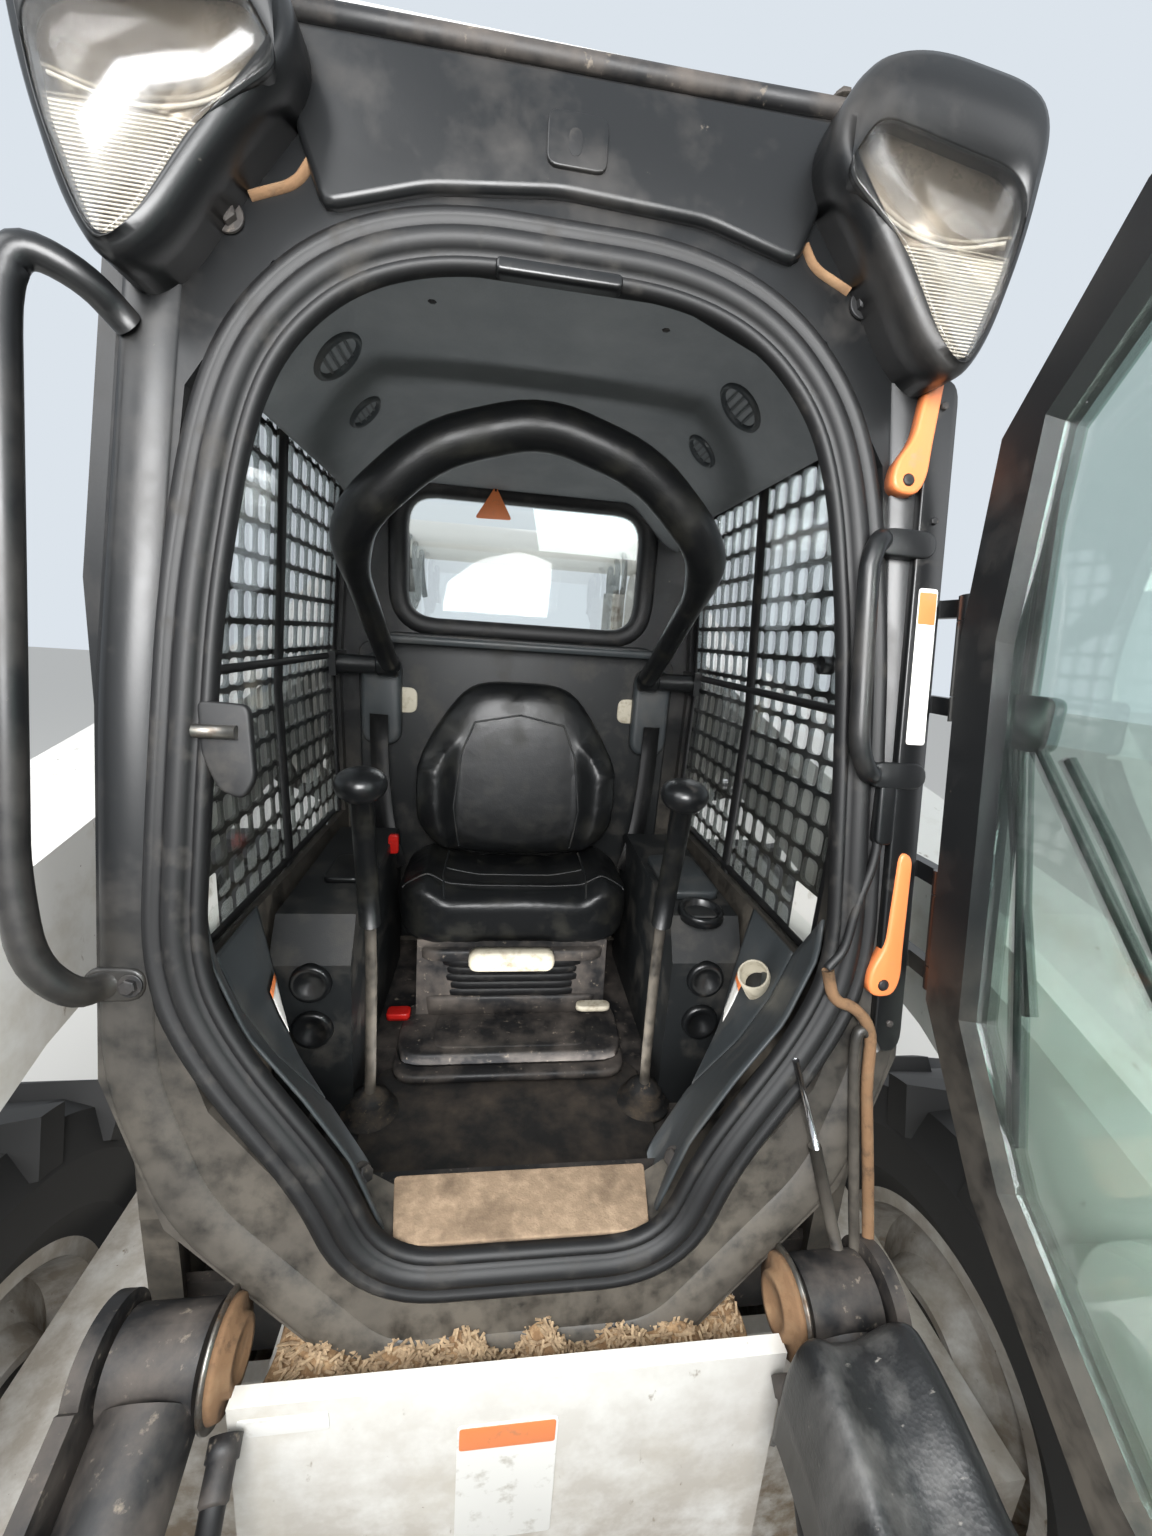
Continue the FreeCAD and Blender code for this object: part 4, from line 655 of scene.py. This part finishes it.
rearY = 0.966
windowLoop = resample(roundRect(0.560, 0.290, 0.045, 0.0, 1.6225), 140, True)
framePath = at(windowLoop[:, 0], rearY, windowLoop[:, 1])
sweep("rear_window_frame", framePath, np.array([(-0.014, -0.030), (-0.013, 0.004), (-0.006, 0.010), (0.006, 0.013), (0.018, 0.011), (0.026, 0.004), (0.028, -0.002)]), sealRubber, closed=True, up=(0, -1, 0), ring=False)
rearFace = facing(at(0.0, rearY - 0.001, 0.0), (1, 0, 0), (0, 0, 1))
slab("rear_trim", rounded([(-0.362, 0.690), (0.362, 0.690), (0.372, 1.420), (0.300, 1.455), (-0.300, 1.455), (-0.372, 1.420)], 0.020, 5, True), rearFace, 0.016, 0.006, darkTrim)
ledge = facing(at(0.0, rearY - 0.040, 1.432), (1, 0, 0), (0, 1, 0))
slab("rear_ledge", roundRect(0.640, 0.074, 0.020), ledge, 0.016, 0.006, greyTrim)
for side, word in bothSides:
    slab("belt_cover_" + word, roundRect(0.090, 0.210, 0.022, side * 0.318, 1.300), rearFace, 0.040, 0.012, greyTrim)
    slab("belt_niche_" + word, roundRect(0.052, 0.060, 0.012, side * 0.265, 1.300), rearFace, 0.018, 0.003, creamPlastic)
slab("pull_tag", rounded([(-0.118, 1.712), (-0.036, 1.714), (-0.074, 1.782)], 0.008, 4, True), facing(at(0.0, rearY - 0.016, 0.0), (1, 0, 0), (0, 0, 1)), 0.002, 0.0008, orangeNylon)
tube("pull_tag_loop", at(np.array([-0.074, -0.074]), rearY - 0.018, np.array([1.770, 1.800])), 0.0025, sealRubber, count=8)
print("cab lining made")

# Raised seat bar: padded tube on two side arms

barHalf = [(0.290, 0.900, 1.380), (0.290, 0.840, 1.406), (0.288, 0.560, 1.566), (0.264, 0.474, 1.618), (0.152, 0.450, 1.714), (0.0, 0.446, 1.758)]
barPath = rounded(barHalf + [(-x, y, z) for x, y, z in barHalf[-2::-1]], 0.055) + (0, yShift, 0)
barRadius = 0.021 + 0.011 * smooth((0.62 - barPath[:, 1] + yShift) / 0.12)  # padding swells towards the middle
sweep("seat_bar_padded", barPath, circle(1.0, 24), seatVinyl, "safety_bar", swell=barRadius, replaces=("seat_bar",))
for side, word in bothSides:
    lathe("seat_bar_hub_" + word, at(side * 0.274, 0.900, 1.380), (side, 0, 0), [(0.0, 0.0), (0.020, 0.0), (0.024, 0.004), (0.024, 0.042), (0.020, 0.046), (0.0, 0.046)], glossPlastic, "safety_bar")

# Seat: filled cushions with side bolsters, base, handle, belt


def cushionForm(p):  # rounded block, higher at both sides, dished in the middle, its front edge rolled down
    across = np.abs(p[..., 0]) / 0.240
    front = smooth((-p[..., 1] - 0.03) / 0.11)
    lift = (p[..., 2] > 0) * (0.026 * smooth((across - 0.56) / 0.22) - 0.012 * (1 - smooth((across - 0.30) / 0.3)) * (1 - front)) + 0.010 * front - 0.012 * front * (p[..., 2] < 0)
    return p + np.stack([-0.04 * p[..., 0] * front, np.zeros_like(lift), lift], -1)


def backForm(p):  # narrows to a rounded top, bolsters stand forward low down, leans back 0.12 per metre
    height = (p[..., 2] + 0.205) / 0.41
    across = np.abs(p[..., 0]) / 0.225
    narrow = 1 - 0.30 * smooth((height - 0.50) / 0.5) - 0.14 * smooth((0.25 - height) / 0.3)
    forward = -0.040 * smooth((across - 0.58) / 0.24) * smooth((0.76 - height) / 0.25) * (p[..., 1] < 0)
    return np.stack([p[..., 0] * narrow, p[..., 1] + forward + 0.12 * p[..., 2], p[..., 2]], -1)


cushion = pillow("seat_cushion_filled", at(0.0, 0.755, 0.908), (0.240, 0.158, 0.050), 0.42, cushionForm, seatVinyl, "machine", 0.007, 0.85, replaces=("seat_cushion",))
backrest = pillow("seat_back_filled", at(0.0, 0.892, 1.160), (0.225, 0.045, 0.204), 0.50, backForm, seatVinyl, "machine", 0.006, 0.85, replaces=("seat_back",))


def seamOn(name, piece, line, direction, radius=0.0022):  # piping laid where rays from the line meet the cushion
    grown = piece.evaluated_get(bpy.context.evaluated_depsgraph_get())
    tree = BVHTree.FromObject(grown, bpy.context.evaluated_depsgraph_get())
    hits = [tree.ray_cast(Vector(p), Vector(direction))[0] for p in resample(line, 90).tolist()]
    hits = np.array([h for h in hits if h is not None])
    sweep(name, hits, circle(radius, 8), darkTrim)


for side, word in bothSides:
    seamOn("cushion_seam_" + word, cushion, at(side * np.array([0.140, 0.150, 0.150]), np.array([0.618, 0.700, 0.840]), 1.2), (0, 0, -1))
    seamOn("backrest_seam_" + word, backrest, at(side * np.array([0.128, 0.142, 0.128, 0.100, 0.0]), 0.5, np.array([0.985, 1.080, 1.200, 1.270, 1.290])), (0, 1, 0))
seamOn("cushion_seam_front", cushion, at(np.array([-0.225, 0.225]), 0.662, 1.2), (0, 0, -1))
seamOn("cushion_seam_middle", cushion, at(np.array([-0.148, 0.148]), 0.745, 1.2), (0, 0, -1))
slab("seat_front_handle", roundRect(0.168, 0.044, 0.012, -0.004, 0.846), facing(at(0.0, 0.592, 0.0), (1, 0, 0), (0, 0, 1)), 0.022, 0.009, creamPlastic)
flat = lambda y, z: facing(at(0.0, y, z), (1, 0, 0), (0, 1, 0))
for name, w, d, y, z, thick, r in (("rail_plate", 0.436, 0.190, 0.560, 0.6705, 0.014, 0.030), ("pan", 0.428, 0.170, 0.570, 0.690, 0.022, 0.034), ("pan_dip", 0.300, 0.110, 0.556, 0.7075, 0.006, 0.020),
                                   ("rear_step", 0.360, 0.120, 0.660, 0.712, 0.040, 0.020), ("upper_pan", 0.380, 0.200, 0.700, 0.832, 0.022, 0.030)):
    slab("seat_" + name, roundRect(w, d, r), flat(y, z), thick, 0.007, dustySteel)
for k in range(5):  # folded bellows between the pans
    slab(f"seat_bellows_{k}", roundRect(0.330 - 0.010 * (k % 2), 0.200, 0.040), flat(0.705, 0.752 + 0.016 * k), 0.015, 0.007, sealRubber)
slab("seat_lever_plate", roundRect(0.070, 0.026, 0.010, 0.165, 0.0), flat(0.585, 0.735), 0.010, 0.004, creamPlastic)
slab("seat_height_tab", roundRect(0.046, 0.030, 0.006, -0.222, 0.0), flat(0.600, 0.712), 0.014, 0.004, redLens)
slab("belt_buckle", roundRect(0.022, 0.044, 0.005, -0.262, 1.010), facing(at(0.0, 0.780, 0.0), (1, 0, 0), (0, 0, 1)), 0.014, 0.004, redLens)
for side, word in bothSides:  # woven belt from its cover down to the seat
    strap = at(side * np.array([0.318, 0.316, 0.300, 0.262]), np.array([0.905, 0.900, 0.880, 0.830]), np.array([1.270, 1.150, 1.010, 0.930]))
    sweep("seat_belt_" + word, rounded(strap, 0.06), np.array([(-0.023, -0.001), (0.023, -0.001), (0.023, 0.001), (-0.023, 0.001)]), sealRubber, up=(side * 0.4, -1, 0.1))
print("seat made")

# Levers: slim bent rods with rubber grips and mushroom knobs

leverSize = {"x": 0.232, "y": 0.362, "knobZ": 1.253, "knobHalf": 0.036}
for side, word in bothSides:
    x, y, z = side * leverSize["x"], leverSize["y"], leverSize["knobZ"]
    k = leverSize["knobHalf"]
    a = np.linspace(0, math.pi, 15)
    more = {"replaces": ("levers",)} if side > 0 else {}
    lathe("lever_knob_" + word, at(x, y, z), (0, -0.1, 1), np.stack([np.maximum(k * np.sin(a) ** 0.8, 0.0), -0.024 * np.cos(a) * np.where(a < 1.57, 1.1, 0.9)], -1), glossPlastic, "machine", 32, **more)
    tube("lever_grip_" + word, at(np.array([x, x, x]), y + np.array([0.002, 0.022, 0.044]), z - np.array([0.020, 0.120, 0.236])), 0.0165, seatVinyl, squash=0.9)
    tube("lever_rod_" + word, at(np.array([x, x, x + side * 0.006, x + side * 0.010]), y + np.array([0.044, 0.050, 0.064, 0.070]), np.array([1.020, 0.930, 0.760, 0.645])), 0.009, blackCoat)
    lathe("lever_boot_" + word, at(x + side * 0.010, y + 0.070, 0.643), (0, 0, 1), [(0.048, 0.0), (0.048, 0.008), (0.036, 0.012), (0.040, 0.020), (0.028, 0.026), (0.032, 0.034), (0.018, 0.042), (0.010, 0.050)], tyreRubber, "machine", 28)

# Consoles: lid and tray

consoleTop = facing(at(0.0, 0.0, 1.0045), (1, 0, 0), (0, 1, 0))
slab("console_lid", roundRect(0.100, 0.190, 0.014, 0.331, 0.620), consoleTop, 0.016, 0.006, greyTrim)
slab("console_tray", roundRect(0.070, 0.120, 0.012, -0.320, 0.640), consoleTop, 0.010, 0.004, glossPlastic)

# Side mouldings between the kick panels and the consoles, with blank labels and the washer bottle's neck

skin = {"start": 0.264, "length": 0.166, "front": [(0.388, 1.048), (0.362, 0.973), (0.323, 0.904), (0.262, 0.831)], "rear": [(0.404, 1.034), (0.396, 0.990), (0.384, 0.920), (0.372, 0.805)]}


def skinPoint(side, s, t, lift=0.0):  # s runs down the profile, t backwards: (1 - t) front + t rear, then lifted off inwards and up
    front, rear = (resample(np.array(skin[k]), 25) for k in ("front", "rear"))
    steps = np.linspace(0, 1, 25)
    x, z = (np.interp(s, steps, front[:, k]) * (1 - t) + np.interp(s, steps, rear[:, k]) * t for k in (0, 1))
    return at(side * (x - 0.8 * lift), skin["start"] + skin["length"] * t - 0.2 * lift, z + 0.5 * lift)


for side, word in bothSides:
    s, t = np.meshgrid(np.linspace(0, 1, 41), np.linspace(0, 1, 21), indexing="ij")
    thicken(addMesh("side_moulding_" + word, skinPoint(side, s, t), gridFaces(41, 21, False, False).tolist(), greyTrim), 0.003)
    for part, low, high, look in (("label", 0.52, 0.78, blankLabel), ("label_band", 0.47, 0.52, orangeNylon)):
        s, t = np.meshgrid(np.linspace(low, high, 9), np.linspace(*((0.58, 0.84) if side > 0 else (0.56, 0.90)), 5), indexing="ij")
        thicken(addMesh(f"moulding_{part}_{word}", skinPoint(side, s, t, 0.0042), gridFaces(9, 5, False, False).tolist(), look), 0.0004)
    slab("screen_label_" + word, roundRect(0.072, 0.090, 0.003), facing(at(side * 0.4160, 0.300, 1.085), (0, -side, 0), (0, 0, 1)), 0.0006, 0.0002, blankLabel)
lathe("washer_neck", skinPoint(1, np.float64(0.29), np.float64(0.235), 0.024), (-0.50, -0.42, 0.76), [(0.0, -0.034), (0.0190, -0.034), (0.0198, 0.010), (0.0215, 0.012), (0.0235, 0.010), (0.0235, -0.040)], creamPlastic, "machine", 36)
# black disc set inside the washer neck: painted shade that makes the neck's opening look dark
lathe("washer_neck_shade_disc", skinPoint(1, np.float64(0.29), np.float64(0.235), 0.024), (-0.50, -0.42, 0.76), [(0.0, -0.022), (0.0170, -0.022), (0.0188, -0.026)], sealRubber, "machine", 28)
lathe("cup_ring", at(0.326, 0.478, 0.996), (0, -0.12, 1), [(0.030, 0.002), (0.031, 0.014), (0.036, 0.017), (0.040, 0.014), (0.041, 0.0)], glossPlastic, "machine", 36)
for height, z in (("upper", 0.900), ("lower", 0.815)):
    for side, word in bothSides:
        lathe(f"outlet_{height}_{word}", at(side * 0.330, 0.4302, z), (0, -1, 0), [(0.0, 0.003), (0.020, 0.004), (0.024, 0.010), (0.031, 0.009), (0.034, -0.002)], glossPlastic, "machine", 32)

# Footwell: kick panels from the seal to the footwell, rubber mat, pedals, tread on the sill

for side, word in bothSides:
    outer = np.array([(0.300, 1.200), (0.297, 1.160), (0.265, 1.090), (0.215, 1.028), (0.170, 0.964), (0.138, 0.892)])
    inner = np.array([(0.390, 1.050), (0.362, 0.973), (0.323, 0.904), (0.255, 0.823), (0.203, 0.719)])
    outer, inner = resample(outer, 24), resample(inner, 24)
    a = at(side * outer[:, 0], lean * (outer[:, 1] - leanFrom) + 0.016, outer[:, 1])
    b = at(side * inner[:, 0], 0.262, inner[:, 1])
    t = np.linspace(0, 1, 9)[None, :, None]
    thicken(addMesh("kick_panel_" + word, a[:, None] * (1 - t) + b[:, None] * t, gridFaces(24, 9, False, False).tolist(), greyTrim), 0.003)
    boltRow("sill_bolt_" + word, a[20:21] * 0.80 + b[20:21] * 0.20, (-0.75 * side, -0.25, 0.60), 0.009, dustySteel)
    tube("pedal_" + word, at(side * np.array([0.300, 0.300]), np.array([0.330, 0.345]), np.array([0.648, 0.720])), 0.022, dustySteel, squash=0.4)
slab("floor_mat", roundRect(0.500, 0.400, 0.030, 0.0, 0.340 + yShift), facing((0, 0, 0.6425), (1, 0, 0), (0, 1, 0)), 0.006, 0.003, floorMat)
slab("sill_tread", rounded([(-0.128, 0.016 + yShift), (0.128, 0.016 + yShift), (0.140, 0.092 + yShift), (-0.140, 0.092 + yShift)], 0.006, 4, True), facing((0, 0, 0.8786), (1, 0, 0), (0, 1, 0)), 0.005, 0.0015, gritTread)
print("footwell made")

# Front: blank sign and ledge label

frontFace = facing(at(0.0, -0.060, 0.0), (1, 0, 0), (0, 0, 1))
slab("front_sign", roundRect(0.092, 0.154, 0.003, -0.012, 0.694), frontFace, 0.0008, 0.0003, blankLabel)
slab("front_sign_band", roundRect(0.088, 0.028, 0.002, -0.012, 0.754), frontFace, 0.0010, 0.0002, orangeNylon)
slab("ledge_label", roundRect(0.075, 0.020, 0.002, -0.205, 0.796), frontFace, 0.0008, 0.0003, blankLabel)

# Hose guard over the left tilt cylinder: arched moulded shell with a raised band, falling forwards

guard = {"middle": 0.293, "half": 0.071, "deep": 0.120, "y": (-0.078, -0.10, -0.20, -0.30, -0.40, -0.50, -0.56), "top": (0.880, 0.912, 0.884, 0.838, 0.796, 0.752, 0.716)}
t = np.linspace(0, 1, 41)
y = np.interp(t, np.linspace(0, 1, 7), guard["y"])
rise = np.convolve(np.pad(np.interp(y, guard["y"][::-1], guard["top"][::-1]), 3, "edge"), np.ones(7) / 7, "valid") - 0.020 * (1 - smooth(t / 0.06))
band = 0.005 * smooth((t - 0.34) / 0.02) * smooth((0.46 - t) / 0.02) - 0.006 * np.exp(-((t - 0.62) / 0.03) ** 2)
a = np.linspace(0, math.pi, 33)
widthAt = (guard["half"] - 0.006) * (0.86 + 0.14 * smooth(t / 0.12)) + band * 0.5
x = guard["middle"] + widthAt[:, None] * np.sign(np.cos(a)) * np.abs(np.cos(a)) ** 0.40
lobe = 0.012 * np.cos(1.4 * math.pi * (x - guard["middle"] + 0.012) / guard["half"]) * np.sin(a) ** 2
z = (rise + band)[:, None] - guard["deep"] * (1 - np.sin(a) ** 0.38) - lobe - 0.012
thicken(addMesh("hose_guard", at(x, y[:, None], z), gridFaces(41, 33, False, False).tolist(), guardPlastic, "arms"), -0.004)

# Tilt cylinder eyes: turned collar, dust-caked pin head and washer, hoses with swaged ends

for side, word in bothSides:
    lathe("pin_head_" + word, at(side * 0.262, -0.028, 0.832), (-side, 0, 0), [(0.0, 0.010), (0.018, 0.010), (0.020, 0.013), (0.027, 0.013), (0.029, 0.007), (0.041, 0.006), (0.043, 0.0)], tanDust, "arms", 40)
    lathe("pin_collar_" + word, at(side * 0.2625, -0.028, 0.832), (side, 0, 0), [(0.048, 0.0), (0.048, 0.003), (0.0, 0.003)], bareSteel, "arms", 40)
    hose = at(side * np.array([0.247, 0.243, 0.250, 0.262, 0.276]), np.array([-0.070, -0.105, -0.150, -0.215, -0.268]), np.array([0.800, 0.786, 0.690, 0.640, 0.655]))
    tube("tilt_hose_" + word, hose, 0.0095, sealRubber, "tilt_barrel_" + word, bend=0.05)
    for k, (p, q) in enumerate(((0, 1), (4, 3))):
        step = (hose[q] - hose[p]) / np.linalg.norm(hose[q] - hose[p])
        lathe(f"tilt_hose_end_{word}_{k}", hose[p] - 0.004 * step, step, [(0.0, 0.0), (0.013, 0.0), (0.013, 0.014), (0.0112, 0.015), (0.0112, 0.036), (0.0095, 0.038)], dustySteel, "tilt_barrel_" + word, 20)

# Stay bar, gas strut with its rod, cable sleeve beside the door post

tube("stay_bar", onRing(np.array([0.352, 0.340, 0.330, 0.330, 0.344, 0.356]), np.array([1.076, 1.098, 1.094, 1.060, 0.900, 0.790]), 0.0075), 0.0055, blackCoat, bend=0.014)
tube("strut_body", onRing(np.array([0.294, 0.334]), np.array([0.975, 0.842]), 0.0075), 0.0065, blackCoat)
tube("strut_rod", onRing(np.array([0.264, 0.294]), np.array([1.068, 0.975]), 0.0105), 0.0035, hardChrome)
tube("cable_sleeve", onRing(np.array([0.292, 0.300, 0.324, 0.346, 0.345, 0.357, 0.366]), np.array([1.160, 1.128, 1.122, 1.098, 1.040, 0.930, 0.830]), 0.0085), 0.0060, tanDust, bend=0.02)
tube("post_cable", onRing(np.array([0.338, 0.334, 0.318, 0.310, 0.296, 0.292]), np.array([1.345, 1.270, 1.225, 1.180, 1.165, 1.160]), 0.0075), 0.0045, sealRubber, bend=0.02)
slab("cable_plug", roundRect(0.018, 0.062, 0.004, 0.339, 1.318), onRing, 0.0135, 0.003, glossPlastic)

# Wiper outside the door glass: blade, frame, bracket and two rods

wiperX = 0.402
for name, y, z, r, look in (("blade", (0.022, -0.002, -0.088), (1.650, 1.420, 1.080), 0.006, glossPlastic), ("frame", (0.030, 0.010, -0.070), (1.580, 1.420, 1.190), 0.0045, blackCoat),
                            ("rod_upper", (-0.017, -0.085, -0.152), (1.408, 1.330, 1.254), 0.0045, blackCoat), ("rod_lower", (-0.046, -0.100, -0.143), (1.402, 1.342, 1.286), 0.0045, blackCoat)):
    tube("wiper_" + name, at(wiperX, np.array(y), np.array(z)), r, look, "door", count=8)
slab("wiper_bracket", roundRect(0.040, 0.046, 0.006, -0.005 + yShift, 1.425), facing((wiperX - 0.007, 0, 0), (0, 1, 0), (0, 0, 1)), 0.018, 0.003, blackCoat, "door")

# Wood chips and soil caught on the ledge under the cab

y, x = np.meshgrid(np.linspace(-0.0425, 0.070, 24), np.linspace(-0.232, 0.232, 110), indexing="ij")
heap = 0.786 + 0.008 * np.sin(31 * x + 3 * np.sin(17 * x)) + 0.006 * np.sin(90 * x + 60 * y) + 0.10 * np.maximum(y, 0)
thicken(addMesh("ledge_soil", at(x, y, heap), gridFaces(24, 110, False, False).tolist(), chipSoil), -0.010)
draw = np.random.default_rng(7)
count = 1500
where = np.stack([draw.uniform(-0.228, 0.228, count), draw.uniform(-0.040, 0.045, count)], -1)
level = 0.789 + 0.008 * np.sin(31 * where[:, 0] + 3 * np.sin(17 * where[:, 0])) + 0.006 * np.sin(90 * where[:, 0] + 60 * where[:, 1]) + 0.10 * np.maximum(where[:, 1], 0)
heading = draw.normal(size=(count, 3)) * (1, 1, 0.35)
heading *= (draw.uniform(0.003, 0.008, count) / np.linalg.norm(heading, axis=1))[:, None]
middle = at(where[:, 0], where[:, 1], level)
bars("wood_chips", middle - heading, middle + heading, 0.0024, 0.0012, (0.0, 0.2, 0.98), woodChip)
print("front dressed")

# Hose loops round the arm pivots, seen through the rear window; bolts outside

for side, word in bothSides:
    for k in range(3):
        r = 0.10 + 0.026 * k
        a = np.linspace(-0.6, 4.3, 40)
        tube(f"pivot_hose_{word}_{k}", at(side * (0.350 + 0.022 * k + 0.045 * a / 4), 1.950 - r * np.cos(a), 1.640 + 1.05 * r * np.sin(a)), 0.0105, sealRubber, "arms", bend=0.01)
    boltRow("gate_bolts_" + word, at(side * 0.390, 2.0505, np.array([0.62, 1.22])), (0, 1, 0), 0.010, dustySteel, "gate")
    boltRow("roof_bolts_" + word, at(side * 0.300, np.array([0.30, 0.60, 0.90]), 2.0595), (0, 0, 1), 0.009, dustySteel)
